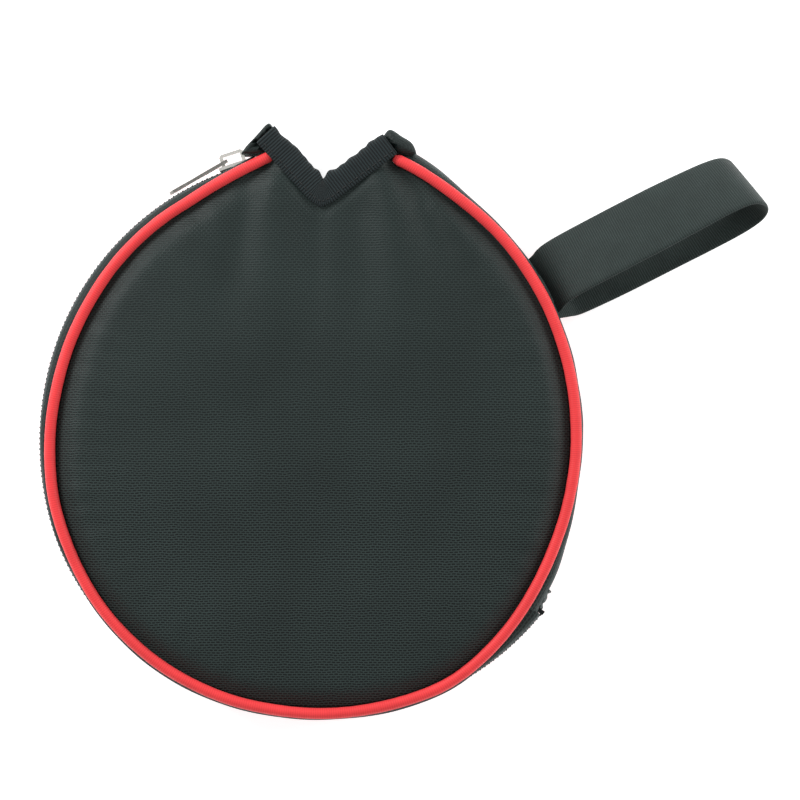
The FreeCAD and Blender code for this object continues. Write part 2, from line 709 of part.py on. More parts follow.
def strap_frame():
    """Placement of the strap: X outwards, Y across the loop's gap, Z along the webbing's width."""
    bearing = size("strap_bearing")
    roll = math.radians(size("strap_roll"))
    outwards = polar(V(), 1, bearing)
    across = V(-outwards.y, outwards.x, 0)
    gap_way = UP * math.cos(roll) + across * math.sin(roll)
    width_way = outwards.cross(gap_way)
    half_gap = size("strap_gap") / 2 + size("strap_thick")
    half_width = size("strap_width") / 2
    lowest = half_gap * math.cos(roll) + half_width * math.sin(roll)
    base = polar(HINGE_CENTRE, HINGE_RIM + size("gusset_thick") / 2, bearing)
    turn = FreeCAD.Rotation(outwards, gap_way, width_way, "XYZ")
    return FreeCAD.Placement(base + UP * (lowest + FLOOR_GAP), turn)


def loop_outline(half_gap, root_half, root_x, shoulder_x, end_x):
    """Closed teardrop: a narrow root, a short shoulder and a round far end."""
    straight_end = end_x - half_gap
    upper = [V(root_x, root_half, 0), V(shoulder_x, half_gap, 0), V(straight_end, half_gap, 0)]
    lower = [V(p.x, -p.y, 0) for p in upper[::-1]]
    far_end = Part.Arc(upper[-1], V(end_x, 0, 0), lower[0])
    edges = [line(upper[0], upper[1]), line(upper[1], upper[2]), far_end,
             line(lower[0], lower[1]), line(lower[1], lower[2])]
    return edges, lower[2], upper[0]


def make_strap():
    """Wrist loop of webbing; both of its ends are sewn to the hinge gusset in one root."""
    thick = size("strap_thick")
    half_gap = size("strap_gap") / 2
    end_x = size("strap_length")
    shoulder = STRAP_ROOT + half_gap + SHOULDER_RUN
    body = new_body("wrist_strap")
    outer, root_low, root_high = loop_outline(half_gap + thick, thick + PLY_GAP, STRAP_ROOT,
                                              shoulder - SHOULDER_SHIFT, end_x)
    outer.append(Part.Arc(root_low, V(STRAP_ROOT - thick - PLY_GAP, 0, 0), root_high))
    inner, low_lip, high_lip = loop_outline(half_gap, PLY_GAP, STRAP_ROOT + LIP,
                                            shoulder + SHOULDER_SHIFT, end_x - thick)
    inner.append(line(low_lip, high_lip))
    sketch = new_sketch(body, "StrapOutline", outer + inner)
    pad(body, sketch, "Sizes.strap_width", midplane=True)
    body.Placement = strap_frame()


def make_strap_anchor():
    """Square of webbing that holds the strap's root on the gusset."""
    body = new_body("strap_anchor")
    inner, outer = ANCHOR_FACES
    corners = [V(inner, -ANCHOR_REACH, 0), V(outer, -ANCHOR_REACH, 0),
               V(outer, ANCHOR_REACH, 0), V(inner, ANCHOR_REACH, 0)]
    edges = [line(corners[i], corners[(i + 1) % 4]) for i in range(4)]
    sketch = new_sketch(body, "AnchorOutline", edges)
    pad(body, sketch, "Sizes.strap_width + 1", midplane=True)
    body.Placement = strap_frame()


# ---------------------------------------------------------------- assembly

make_panel(BACK, "", whole_rim)
make_panel(FRONT, "", opening_rim)
make_panel(FRONT, "_margin", margin_rim)
for chosen_side, ending, followed in ((BACK, "", whole_rim), (FRONT, "", opening_rim),
                                      (FRONT, "_margin", margin_rim)):
    make_piping(chosen_side, ending, followed)
    make_seam_binding(chosen_side, ending, followed)
make_notch_binding(BACK)
make_notch_binding(FRONT)
make_zip_side(BACK)
make_zip_side(FRONT)
make_hinge_gusset()
make_zip_end()
make_top_stops()
make_mouth_ends()
make_slider_body()
make_bridge()
make_pull_tab()
make_strap()
make_strap_anchor()
doc.recompute()

for item in doc.Objects:
    bad = [state for state in item.State if state in ("Invalid", "Error")]
    if bad:
        raise RuntimeError("%s did not build: %s" % (item.Label, item.State))
for node in NODES:
    if node.Shape.isNull() or not node.Shape.isValid() or len(node.Shape.Solids) != 1:
        raise RuntimeError("%s is not one valid solid (%d)" % (node.Label,
                                                              len(node.Shape.Solids)))

os.makedirs("parts", exist_ok=True)
for node in NODES:
    node.Shape.exportStep("parts/%s.step" % node.Label)
    print("%-26s %10.1f mm3" % (node.Label, node.Shape.Volume))


def report(title, point, way):
    """Print a joint's place in metres and its direction."""
    place = tuple(round(value / 1000, 6) for value in point)
    print(title, place, tuple(round(value, 6) for value in way))


fold_height = UP * (size("case_depth") + SEAM_GAP)
report("fold", (FOLD_START + FOLD_END) / 2 + fold_height, FOLD_WAY)
slider_turn = FreeCAD.Rotation(UP, size("slider_bearing"))
radius, aside = pull_pivot()
report("pull", slider_turn.multVec(V(radius, aside, HALF_DEPTH)), -UP)
strap_place = strap_frame()
report("strap", strap_place.multVec(V(STRAP_ROOT, 0, 0)), strap_place.Rotation.multVec(UP))
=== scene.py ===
"""A soft, round table tennis racket case, dressed for rendering.

The case lies on its back: z is zero under the back cover, the front cover faces +Z and the
V-shaped mouth for the handle points to +Y. Lengths in the dataclasses are millimetres; meshes
are in metres.
"""

import bisect
import logging
import math
from dataclasses import dataclass, field
from enum import Enum
from typing import Callable, Optional, Sequence

import bmesh
import bpy
from mathutils import Matrix, Vector, noise
from mathutils.kdtree import KDTree


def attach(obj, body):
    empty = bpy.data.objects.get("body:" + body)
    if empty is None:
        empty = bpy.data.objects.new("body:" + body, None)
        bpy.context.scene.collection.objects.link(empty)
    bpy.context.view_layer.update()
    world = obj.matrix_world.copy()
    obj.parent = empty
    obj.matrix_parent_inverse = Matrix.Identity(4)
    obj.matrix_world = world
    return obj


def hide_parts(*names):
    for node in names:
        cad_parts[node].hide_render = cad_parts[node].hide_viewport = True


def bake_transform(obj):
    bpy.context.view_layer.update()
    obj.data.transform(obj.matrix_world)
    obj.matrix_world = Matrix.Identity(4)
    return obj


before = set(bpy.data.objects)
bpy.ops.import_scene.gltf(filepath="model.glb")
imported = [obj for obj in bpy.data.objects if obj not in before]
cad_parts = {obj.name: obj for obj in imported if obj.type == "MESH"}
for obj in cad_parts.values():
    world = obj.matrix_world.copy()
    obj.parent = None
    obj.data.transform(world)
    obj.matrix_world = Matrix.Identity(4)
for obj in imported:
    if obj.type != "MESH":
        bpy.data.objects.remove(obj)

LOG = logging.getLogger("racket_case")

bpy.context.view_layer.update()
MM = 0.001
UP = Vector((0.0, 0.0, 1.0))
FULL_TURN = 360.0
QUARTER_TURN = 90.0
SAME_SPOT = 1e-6
MM_PER_DEGREE = 1.65    # along the rim

Pair = tuple[float, float]
Socket = bpy.types.NodeSocket
Place = Callable[[float, float], Vector]
Chart = Callable[[float, float], Pair]


# ------------------------------------------------------------------ small maths


def smooth(value: float, low: float, high: float) -> float:
    """Return 0 below low, 1 above high and an eased value between them."""
    t = min(1.0, max(0.0, (value - low) / (high - low)))
    return t * t * (3.0 - 2.0 * t)


def mix(first: float, second: float, share: float) -> float:
    """Return the value that lies share of the way from first to second."""
    return first + (second - first) * share


def bell(distance: float, width: float) -> float:
    """Return a bump of height one that is width wide at its waist."""
    return math.exp(-((distance / width) ** 2))


def wander(seed: float, position: float, pitch: float) -> float:
    """Return a slow repeatable wobble from -1 to 1 for a position along a seam."""
    return noise.noise(Vector((position / pitch, seed * 7.31, seed * 1.7)))


def flat(x: float, y: float) -> Vector:
    """Return a point of the ground plan, in millimetres."""
    return Vector((x, y, 0.0))


def heading(bearing: float) -> Vector:
    """Return the unit direction of a bearing in degrees, counted from +X."""
    return flat(math.cos(math.radians(bearing)), math.sin(math.radians(bearing)))


def soft_curve(points: Sequence[Vector], share: float) -> Vector:
    """Return a point on the smooth curve that runs through all the given points."""
    spans = len(points) - 1
    at = min(max(share, 0.0), 1.0) * spans
    index = min(int(at), spans - 1)
    t = at - index
    before = points[max(index - 1, 0)]
    start, end = points[index], points[index + 1]
    after = points[min(index + 2, spans)]
    return 0.5 * (
        2 * start
        + (end - before) * t
        + (2 * before - 5 * start + 4 * end - after) * t ** 2
        + (3 * start - before - 3 * end + after) * t ** 3
    )


class EvenCurve:
    """A smooth curve through points that is travelled at an even speed."""

    def __init__(self, points: Sequence[Vector], samples: int = 400) -> None:
        """Measure the curve."""
        self.points = points
        self.marks = [0.0]
        before = soft_curve(points, 0.0)
        for step in range(1, samples + 1):
            spot = soft_curve(points, step / samples)
            self.marks.append(self.marks[-1] + (spot - before).length)
            before = spot
        self.length = self.marks[-1]

    def at(self, share: float) -> Vector:
        """Return the point at a share of the curve's length."""
        target = min(max(share, 0.0), 1.0) * self.length
        index = min(bisect.bisect_left(self.marks, target), len(self.marks) - 1)
        if index == 0:
            return soft_curve(self.points, 0.0)
        low, high = self.marks[index - 1], self.marks[index]
        part = (target - low) / max(high - low, 1e-9)
        return soft_curve(self.points, (index - 1 + part) / (len(self.marks) - 1))


# ------------------------------------------------------------------ the case's outline


@dataclass(frozen=True)
class RimLine:
    """The outer edge of the red piping, as the sewn case really takes it."""

    zip_centre: Pair = (-1.26, -1.5)
    zip_radius: float = 97.5
    hinge_centre: Pair = (-16.3, 0.8)
    hinge_radius: float = 107.5
    softness: float = 0.5
    flare_start: float = 121.0
    flare_span: float = 20.0
    flare_height: float = 5.6
    flare_power: float = 1.5
    sways: tuple[tuple[float, float, float], ...] = (
        (163.0, 27.0, -1.9), (233.0, 24.0, 0.9), (302.0, 20.0, 1.4), (422.0, 10.0, -0.7),
    )

    def _sway(self, bearing: float) -> float:
        """Return how far the hand-guided seam strays out at a bearing."""
        turned = (bearing - QUARTER_TURN) % FULL_TURN + QUARTER_TURN
        return sum(amount * bell(turned - middle, width) for middle, width, amount in self.sways)

    def _reach(self, centre: Pair, radius: float, bearing: float) -> float:
        """Return how far a ray from the origin runs before it leaves a circle."""
        ray, middle = heading(bearing), flat(*centre)
        across = middle.cross(ray).z
        return middle.dot(ray) + math.sqrt(radius ** 2 - across ** 2)

    def radius(self, bearing: float) -> float:
        """Return the piping's outer radius at a bearing.

        Args:
            bearing: degrees from +X, any turn.

        Returns:
            The distance from the origin in millimetres.
        """
        turned = (bearing + QUARTER_TURN) % FULL_TURN - QUARTER_TURN
        hinge = self._reach(self.hinge_centre, self.hinge_radius, turned)
        stray = self._sway(bearing)
        if 0.0 <= turned <= QUARTER_TURN:
            return hinge + stray
        zipped = self._reach(self.zip_centre, self.zip_radius, turned)
        low, gap = min(hinge, zipped), abs(hinge - zipped)
        base = low - self.softness * math.log1p(math.exp(-gap / self.softness))
        if QUARTER_TURN < turned < self.flare_start:
            share = (self.flare_start - turned) / self.flare_span
            base += self.flare_height * share ** self.flare_power
        return base + stray

    def point(self, bearing: float, inset: float = 0.0, height: float = 0.0) -> Vector:
        """Return a point at an inset from the piping's outer edge, in millimetres."""
        spot = heading(bearing) * (self.radius(bearing) - inset)
        spot.z = height
        return spot


@dataclass(frozen=True)
class MouthCut:
    """The V cut in both covers where the racket's handle comes out."""

    apex: Vector = field(default_factory=lambda: flat(0.4, 89.9))
    left: Vector = field(default_factory=lambda: flat(-17.0, 108.8))
    right: Vector = field(default_factory=lambda: flat(21.6, 105.9))
    tape: float = 8.0

    def arm(self, side: int) -> Vector:
        """Return the unit direction from the apex along the left (-1) or right (1) arm."""
        end = self.left if side < 0 else self.right
        return (end - self.apex).normalized()

    def inward(self, side: int) -> Vector:
        """Return the unit direction from an arm's free edge into the cover."""
        arm = self.arm(side)
        return flat(-arm.y, arm.x) if side < 0 else flat(arm.y, -arm.x)

    def corner(self, inset: float) -> Vector:
        """Return the mitre point of the V for an edge moved into the cover."""
        left, right = self.inward(-1), self.inward(1)
        return self.apex + (left + right) * (inset / (1.0 + left.dot(right)))

    def end(self, side: int, inset: float, short: float = 0.0) -> Vector:
        """Return an arm's outer end for an edge moved into the cover."""
        tip = self.left if side < 0 else self.right
        return tip + self.inward(side) * inset - self.arm(side) * short


RIM = RimLine()
MOUTH = MouthCut()


# ------------------------------------------------------------------ mesh tools


def only(piece: bpy.types.Object) -> None:
    """Make one object the only selected and active one."""
    for other in bpy.context.selected_objects:
        other.select_set(False)
    piece.select_set(True)
    bpy.context.view_layer.objects.active = piece


def apply_modifier(piece: bpy.types.Object, kind: str, **settings: object) -> None:
    """Add one modifier, set it up and apply it to the mesh."""
    modifier = piece.modifiers.new(kind.title(), kind)
    for key, value in settings.items():
        setattr(modifier, key, value)
    only(piece)
    bpy.ops.object.modifier_apply(modifier=modifier.name)


def subdivide(piece: bpy.types.Object, levels: int = 1) -> None:
    """Smooth a piece with a subdivision surface that is applied at once."""
    apply_modifier(piece, "SUBSURF", levels=levels, render_levels=levels)


def shade(piece: bpy.types.Object) -> bpy.types.Object:
    """Shade a piece smooth."""
    only(piece)
    bpy.ops.object.shade_smooth()
    return piece


def unrolled(length: float, width: float) -> Chart:
    """Return the chart of a plain strip of a length and width in millimetres."""
    return lambda a, b: (a * length, b * width)


def face_outwards(piece: bpy.types.Object) -> None:
    """Turn every face of a closed piece outwards."""
    only(piece)
    bpy.ops.object.mode_set(mode="EDIT")
    bpy.ops.mesh.select_all(action="SELECT")
    bpy.ops.mesh.normals_make_consistent(inside=False)
    bpy.ops.object.mode_set(mode="OBJECT")


def shaped_grid(
    name: str,
    columns: int,
    rows: int,
    place: Place,
    chart: Chart,
    caps: bool = False,
) -> bpy.types.Object:
    """Shape a flat grid into a surface, with its unrolled size kept as the UV map in metres.

    Args:
        name: the piece's name.
        columns: faces along the first direction.
        rows: faces along the second direction.
        place: gives the point in millimetres for two shares from 0 to 1.
        chart: gives the unrolled position in millimetres for the same shares.
        caps: closes the open ends with one face each.

    Returns:
        The new object, at the origin.
    """
    bpy.ops.mesh.primitive_grid_add(x_subdivisions=columns, y_subdivisions=rows, size=1.0)
    piece = bpy.context.active_object
    piece.name = name
    piece.data.name = name
    mesh = bmesh.new()
    mesh.from_mesh(piece.data)
    sheet = mesh.loops.layers.uv.verify()
    for face in mesh.faces:
        for loop in face.loops:
            u, v = chart(loop.vert.co.x + 0.5, loop.vert.co.y + 0.5)
            loop[sheet].uv = (u * MM, v * MM)
    for vert in mesh.verts:
        vert.co = place(vert.co.x + 0.5, vert.co.y + 0.5) * MM
    bmesh.ops.remove_doubles(mesh, verts=mesh.verts, dist=SAME_SPOT)
    if caps:
        rims = [edge for edge in mesh.edges if edge.is_boundary]
        bmesh.ops.holes_fill(mesh, edges=rims, sides=0)
    bmesh.ops.recalc_face_normals(mesh, faces=mesh.faces)
    mesh.to_mesh(piece.data)
    mesh.free()
    return shade(piece)


def cloth_strip(
    name: str,
    columns: int,
    rows: int,
    place: Place,
    chart: Chart,
    thickness: float,
    smoothing: int = 1,
) -> bpy.types.Object:
    """Return a shaped grid given a real cloth thickness, centred on its surface."""
    piece = shaped_grid(name, columns, rows, place, chart)
    apply_modifier(
        piece, "SOLIDIFY", thickness=thickness * MM, offset=0.0, use_even_offset=True,
        use_quality_normals=True,
    )
    if smoothing:
        subdivide(piece, smoothing)
    face_outwards(piece)
    return shade(piece)


LOOK_AHEAD = 0.4    # share of one step over which a path's direction is taken


def tube(
    name: str,
    path: Callable[[float], Vector],
    radius: Callable[[float, float], float],
    length: float,
    steps: int,
    around: int,
) -> bpy.types.Object:
    """Return a closed round bead along a path.

    Args:
        name: the piece's name.
        path: gives the centre line in millimetres for a share from 0 to 1.
        radius: gives the radius in millimetres for the share and the angle in radians.
        length: the path's rough length in millimetres, for the UV map.
        steps: faces along the path.
        around: faces round the bead.

    Returns:
        The bead, with capped ends.
    """
    rings: dict[float, tuple[Vector, Vector, Vector]] = {}

    def ring(share: float) -> tuple[Vector, Vector, Vector]:
        """Return the centre and the two cross directions at a share of the path."""
        key = round(share, 7)
        if key not in rings:
            step = LOOK_AHEAD / steps
            tangent = (path(share + step) - path(share - step)).normalized()
            side = tangent.cross(UP).normalized()
            rings[key] = (path(share), side, side.cross(tangent))
        return rings[key]

    def place(share: float, turn: float) -> Vector:
        """Return a point on the bead's skin."""
        centre, side, top = ring(share)
        angle = turn * math.tau
        reach = radius(share, angle)
        return centre + (side * math.cos(angle) + top * math.sin(angle)) * reach

    def chart(share: float, turn: float) -> Pair:
        """Return the unrolled position on the bead's skin."""
        return share * length, turn * math.tau * radius(0.5, 0.0)

    return shaped_grid(name, steps, around, place, chart, caps=True)


# ------------------------------------------------------------------ finishes


def linear(code: str) -> tuple[float, float, float, float]:
    """Turn an sRGB hex code into linear red, green, blue and alpha."""
    values = [int(code[i:i + 2], 16) / 255.0 for i in (0, 2, 4)]
    bright = [v / 12.92 if v <= 0.04045 else ((v + 0.055) / 1.055) ** 2.4 for v in values]
    return bright[0], bright[1], bright[2], 1.0


def feed(shader: bpy.types.Node, **inputs: object) -> None:
    """Link or set a shader's inputs, named as they are with _ for a space."""
    for name, value in inputs.items():
        socket = shader.inputs[name.replace("_", " ")]
        if isinstance(value, Socket):
            shader.id_data.links.new(value, socket)
        else:
            socket.default_value = value


class Board:
    """The node board of one new material."""

    def __init__(self, name: str) -> None:
        """Start the material with its Principled shader."""
        self.material = bpy.data.materials.new(name)
        self.material.use_nodes = True
        self.tree = self.material.node_tree

    def finished(self, **inputs: object) -> bpy.types.Material:
        """Feed the shader its inputs and return the material."""
        feed(self.tree.nodes["Principled BSDF"], **inputs)
        return self.material

    def add(
        self,
        kind: str,
        settings: Optional[dict[object, object]] = None,
        links: Optional[dict[object, Socket]] = None,
    ) -> bpy.types.Node:
        """Add a node, set its properties or sockets and link its inputs.

        Args:
            kind: the node's type, without the leading "ShaderNode".
            settings: properties by name, or sockets by name or number.
            links: the outputs to link, by input name or number.

        Returns:
            The new node.
        """
        node = self.tree.nodes.new(f"ShaderNode{kind}")
        for key, value in (settings or {}).items():
            if isinstance(key, str) and hasattr(node, key):
                setattr(node, key, value)
            else:
                node.inputs[key].default_value = value
        for socket, source in (links or {}).items():
            self.tree.links.new(source, node.inputs[socket])
        return node

    def where(self, kind: str) -> Socket:
        """Return the surface's UV or Object coordinates."""
        return self.add("TexCoord").outputs[kind]

    def repeats(self, pitch_u: float, pitch_v: float) -> Socket:
        """Return UV coordinates counted in pattern repeats of the given millimetres."""
        scale = (1.0 / (pitch_u * MM), 1.0 / (pitch_v * MM), 1.0)
        return self.add(
            "Mapping", {"Scale": scale}, {"Vector": self.where("UV")},
        ).outputs["Vector"]

    def noise(self, scale: float, detail: float, vector: Socket) -> bpy.types.Node:
        """Return a noise texture read at the given coordinates."""
        return self.add("TexNoise", {"Scale": scale, "Detail": detail}, {"Vector": vector})

    def cloudy(self, size: float, detail: float = 3.0) -> Socket:
        """Return slow noise in the object's own space, with blotches of size millimetres."""
        return self.noise(1.0 / (size * MM), detail, self.where("Object")).outputs["Fac"]

    def two_tone(self, factor: Socket, first: str, second: str) -> Socket:
        """Return a colour that runs between two hex codes."""
        settings = {"data_type": "RGBA", 6: linear(first), 7: linear(second)}
        return self.add("Mix", settings, {0: factor}).outputs[2]

    def spread(self, value: Socket, into: Pair, across: Pair = (0.0, 1.0)) -> Socket:
        """Return a value mapped from one range into another."""
        names = ("From Min", "From Max", "To Min", "To Max")
        settings = dict(zip(names, (*across, *into)))
        return self.add("MapRange", settings, {"Value": value}).outputs["Result"]

    def varied(self, colour: Socket, amount: float, size: float) -> Socket:
        """Return a colour whose brightness drifts a little over the piece, as dyed cloth does."""
        drift = self.spread(self.cloudy(size), (1.0 - amount, 1.0 + amount), (0.3, 0.7))
        return self.add(
            "HueSaturation", {}, {"Color": colour, "Value": drift},
        ).outputs["Color"]

    def uneven(self, vector: Socket, amount: float, scale: float, detail: float) -> Socket:
        """Return coordinates pushed about by noise, as hand-guided threads are."""
        waver = self.noise(scale, detail, vector).outputs["Color"]
        settings = {"blend_type": "LINEAR_LIGHT", "Fac": amount}
        return self.add(
            "MixRGB", settings, {"Color1": vector, "Color2": waver},
        ).outputs["Color"]

    def sum(self, operation: str, *terms: "Socket | float") -> Socket:
        """Return one arithmetic step on sockets and numbers."""
        settings: dict[object, object] = {"operation": operation}
        links: dict[object, Socket] = {}
        for index, term in enumerate(terms):
            (links if isinstance(term, Socket) else settings)[index] = term
        return self.add("Math", settings, links).outputs[0]

    def ripple(self, vector: Socket, axis: str) -> Socket:
        """Return a rounded ridge from 0 to 1 for each repeat along one axis."""
        parts = self.add("SeparateXYZ", {}, {"Vector": vector})
        wave = self.sum("SINE", self.sum("MULTIPLY", parts.outputs[axis], math.tau))
        return self.sum("MULTIPLY_ADD", wave, 0.5, 0.5)

    def raised(self, height: Socket, depth: float, under: Optional[Socket] = None) -> Socket:
        """Return a normal bumped by a height map of the given depth in millimetres."""
        links: dict[object, Socket] = {"Height": height}
        if under is not None:
            links["Normal"] = under
        return self.add("Bump", {"Strength": 1.0, "Distance": depth * MM}, links).outputs["Normal"]


@dataclass(frozen=True)
class CoatedOxford:
    """Staggered basket weave under a thin coating: tiny dark pits in a soft satin face."""

    name: str = "oxford_polyester_coated"
    thread: str = "2f3b39"
    pit: str = "090d0d"
    cell: Pair = (1.62, 0.86)
    pit_size: float = 0.34
    depth: float = 0.07
    roughness: float = 0.5
    roughness_drift: Pair = (-0.06, 0.12)
    unevenness: float = 0.5
    top_fade_y: Pair = (0.07, -0.03)
    top_contrast: float = 0.45
    plain_tone: float = 0.55
    dye_drift: float = 0.12
    dye_patch: float = 34.0
    gloss_patch: float = 20.0
    gloss: float = 0.2
    sheen: float = 0.09
    sheen_tint: str = "b4e4e4"

    def _pits(self, board: Board, grid: Socket) -> Socket:
        """Return the staggered pits of the basket weave, with slightly uneven threads."""
        threads = board.uneven(grid, self.unevenness, 0.25, 2.0)
        settings = {
            "offset": 0.5, "Scale": 1.0, "Brick Width": self.cell[0],
            "Row Height": self.cell[1], "Mortar Size": self.pit_size, "Mortar Smooth": 1.0,
        }
        return board.add("TexBrick", settings, {"Vector": threads}).outputs["Fac"]

    def _contrast(self, board: Board) -> Socket:
        """Return how clearly the pits show: less towards the mouth, at the top of the case."""
        parts = board.add("SeparateXYZ", {}, {"Vector": board.where("Object")})
        return board.spread(parts.outputs["Y"], (self.top_contrast, 1.0), self.top_fade_y)

    def material(self) -> bpy.types.Material:
        """Return the shell cloth's material."""
        board = Board(self.name)
        grid = board.repeats(1.0, 1.0)
        pits = self._pits(board, grid)
        fibres = board.noise(2.2, 2.0, grid).outputs["Fac"]
        shown = board.add(
            "Mix", {"data_type": "FLOAT", 2: self.plain_tone},
            {0: self._contrast(board), 3: pits},
        ).outputs[0]
        face = board.two_tone(shown, self.pit, self.thread)
        fine = board.raised(fibres, self.depth * 0.6)
        low, high = self.roughness_drift
        shine = (self.roughness + low, self.roughness + high)
        return board.finished(
            Base_Color=board.varied(face, self.dye_drift, self.dye_patch),
            Normal=board.raised(pits, self.depth, fine),
            Roughness=board.spread(board.cloudy(self.gloss_patch), shine),
            Specular_IOR_Level=self.gloss, Sheen_Weight=self.sheen,
            Sheen_Tint=linear(self.sheen_tint), Sheen_Roughness=0.4,
        )


@dataclass(frozen=True)
class RibbedWeave:
    """Grosgrain, webbing or covered cord: rounded ribs across the length with fine threads."""

    name: str
    thread: str
    groove: str
    rib: float
    cross_thread: float
    depth: float
    roughness: float = 0.72
    sheen: float = 0.15
    drift: float = 0.12
    drift_patch: float = 9.0
    unevenness: float = 0.12
    thread_share: float = 0.3
    gloss: float = 0.2

    def material(self) -> bpy.types.Material:
        """Return the ribbed cloth's material."""
        board = Board(self.name)
        repeats = board.repeats(self.rib, self.cross_thread)
        shifted = board.uneven(repeats, self.unevenness, 0.35, 1.0)
        ribs, threads = board.ripple(shifted, "X"), board.ripple(shifted, "Y")
        both = board.sum("MULTIPLY_ADD", threads, self.thread_share, ribs)
        face = board.two_tone(ribs, self.groove, self.thread)
        return board.finished(
            Base_Color=board.varied(face, self.drift, self.drift_patch),
            Normal=board.raised(both, self.depth), Roughness=self.roughness,
            Specular_IOR_Level=self.gloss, Sheen_Weight=self.sheen,
        )


@dataclass(frozen=True)
class PlainTaffeta:
    """Thin plain-woven lining and tape: a fine square grid of threads with a dull shine."""

    name: str
    thread: str
    gap: str
    pitch: float = 0.5
    roughness: float = 0.6
    dye_drift: float = 0.12
    dye_patch: float = 15.0
    depth: float = 0.05

    def material(self) -> bpy.types.Material:
        """Return the plain weave's material."""
        board = Board(self.name)
        repeats = board.repeats(self.pitch, self.pitch)
        both = board.sum("MULTIPLY", board.ripple(repeats, "X"), board.ripple(repeats, "Y"))
        face = board.two_tone(both, self.gap, self.thread)
        return board.finished(
            Base_Color=board.varied(face, self.dye_drift, self.dye_patch),
            Normal=board.raised(both, self.depth), Roughness=self.roughness,
        )


@dataclass(frozen=True)
class DrawnNylon:
    """Drawn nylon monofilament: smooth, faintly streaked, with a soft plastic highlight."""

    name: str = "nylon_monofilament_coil"
    body: str = "11181a"
    worn: str = "2a3536"
    streak: float = 1.3
    depth: float = 0.03
    roughness: float = 0.33

    def material(self) -> bpy.types.Material:
        """Return the coil's material."""
        board = Board(self.name)
        streaks = board.cloudy(self.streak, 4.0)
        return board.finished(
            Base_Color=board.two_tone(streaks, self.body, self.worn),
            Normal=board.raised(streaks, self.depth), Roughness=self.roughness,
        )


@dataclass(frozen=True)
class PlatedZinc:
    """Die-cast zinc with nickel plating under clear lacquer: bright, dulled by fine marks."""

    name: str = "nickel_plated_zinc"
    bright: str = "f5f4ee"
    dull: str = "d2d1ca"
    roughness: Pair = (0.16, 0.38)
    bareness: float = 0.55
    mark: float = 1.6
    depth: float = 0.02

    def material(self) -> bpy.types.Material:
        """Return the zip metal's material."""
        board = Board(self.name)
        marks = board.cloudy(self.mark, 6.0)
        return board.finished(
            Base_Color=board.two_tone(marks, self.dull, self.bright),
            Normal=board.raised(marks, self.depth),
            Roughness=board.spread(marks, self.roughness), Metallic=self.bareness,
        )


@dataclass(frozen=True)
class MattPaint:
    """Matt white photographic sweep, with the faintest mottling."""

    name: str = "studio_sweep_matt"
    light: str = "fbfbfb"
    dark: str = "f3f4f4"
    glow: float = 0.62
    patch: float = 60.0
    roughness: float = 0.9

    def material(self) -> bpy.types.Material:
        """Return the floor's material."""
        board = Board(self.name)
        return board.finished(
            Base_Color=board.two_tone(board.cloudy(self.patch), self.dark, self.light),
            Roughness=self.roughness, Specular_IOR_Level=0.1,
            Emission_Color=linear("ffffff"), Emission_Strength=self.glow,
        )


class Finishes:
    """Every material of the case, made once."""

    def __init__(self) -> None:
        """Make the materials."""
        # Charcoal satin with fine dark pits: the covers' main cloth.
        self.shell = CoatedOxford().material()
        # The same cloth a little darker and duller, on the gusset strips, the side wall, the zip
        # end tab and the gusset ends.
        self.gusset = CoatedOxford(
            "oxford_polyester_gusset", thread="27312f", pit="101515", roughness=0.55,
        ).material()
        # Clear warm red with hardly visible ribs: the line that draws the case's outline.
        self.piping = RibbedWeave(
            "polyester_piping_woven_red", thread="ee4346", groove="df3a3d", rib=0.8,
            cross_thread=0.5, depth=0.035, roughness=0.5, sheen=0.04, drift=0.05,
        ).material()
        # Near black with deep rounded ribs that catch the light one by one.
        self.ribbon = RibbedWeave(
            "grosgrain_ribbon_polyester", thread="263133", groove="0a0e0f", rib=1.02,
            cross_thread=0.45, depth=0.2, sheen=0.08,
        ).material()
        # Dark grey-green with fine cross ribs: a little lighter than the covers.
        self.webbing = RibbedWeave(
            "polypropylene_webbing", thread="323d3b", groove="1b2422", rib=0.84,
            cross_thread=0.5, depth=0.1, roughness=0.62, sheen=0.1,
        ).material()
        # Thin dull cloth inside the covers.
        self.lining = PlainTaffeta("nylon_lining_taffeta", "2b3031", "14181a").material()
        # Dark flat tape that the zip's teeth stand out from.
        self.tape = PlainTaffeta(
            "zip_tape_polyester", "262d2e", "0e1213", pitch=0.6,
        ).material()
        # Faintly shiny black thread, in small raised dashes.
        self.stitch = PlainTaffeta(
            "sewing_thread_bonded", "232a2a", "0f1313", pitch=0.3,
        ).material()
        # Smooth black plastic with a soft highlight on every tooth.
        self.coil = DrawnNylon().material()
        # Bright silver, the only shining parts.
        self.metal = PlatedZinc().material()
        # The same metal painted darker: painted shade for the pull, which is seen edge-on as a
        # dark line.
        self.pull_metal = PlatedZinc(
            "nickel_plated_pull_painted_shade", "b9b8b2", "5f5f5b", roughness=(0.2, 0.45), bareness=1.0,
        ).material()
        # Dull black metal that hides beside the zip's end.
        self.black_metal = PlatedZinc(
            "blackened_steel_stop", "3a3d3e", "1d2021", roughness=(0.3, 0.5), bareness=1.0,
        ).material()
        # White sweep with no edge and a very soft shadow.
        self.floor = MattPaint().material()


def paint(piece: bpy.types.Object, *materials: bpy.types.Material) -> bpy.types.Object:
    """Give a piece its materials in slot order."""
    piece.data.materials.clear()
    for material in materials:
        piece.data.materials.append(material)
    return piece


# ------------------------------------------------------------------ how pieces move


class Side(Enum):
    """Which of the two covers a piece belongs to."""

    FRONT = "front"
    BACK = "back"

    def height(self, from_back: float) -> float:
        """Return the height of a front cover's level on this side, in millimetres."""
        return from_back if self is Side.FRONT else CASE_DEPTH - from_back

    @property
    def out(self) -> float:
        """Return +1 where out of the case is up, else -1."""
        return 1.0 if self is Side.FRONT else -1.0


CASE_DEPTH = 36.0
CLOTH_MARGIN = 200.0


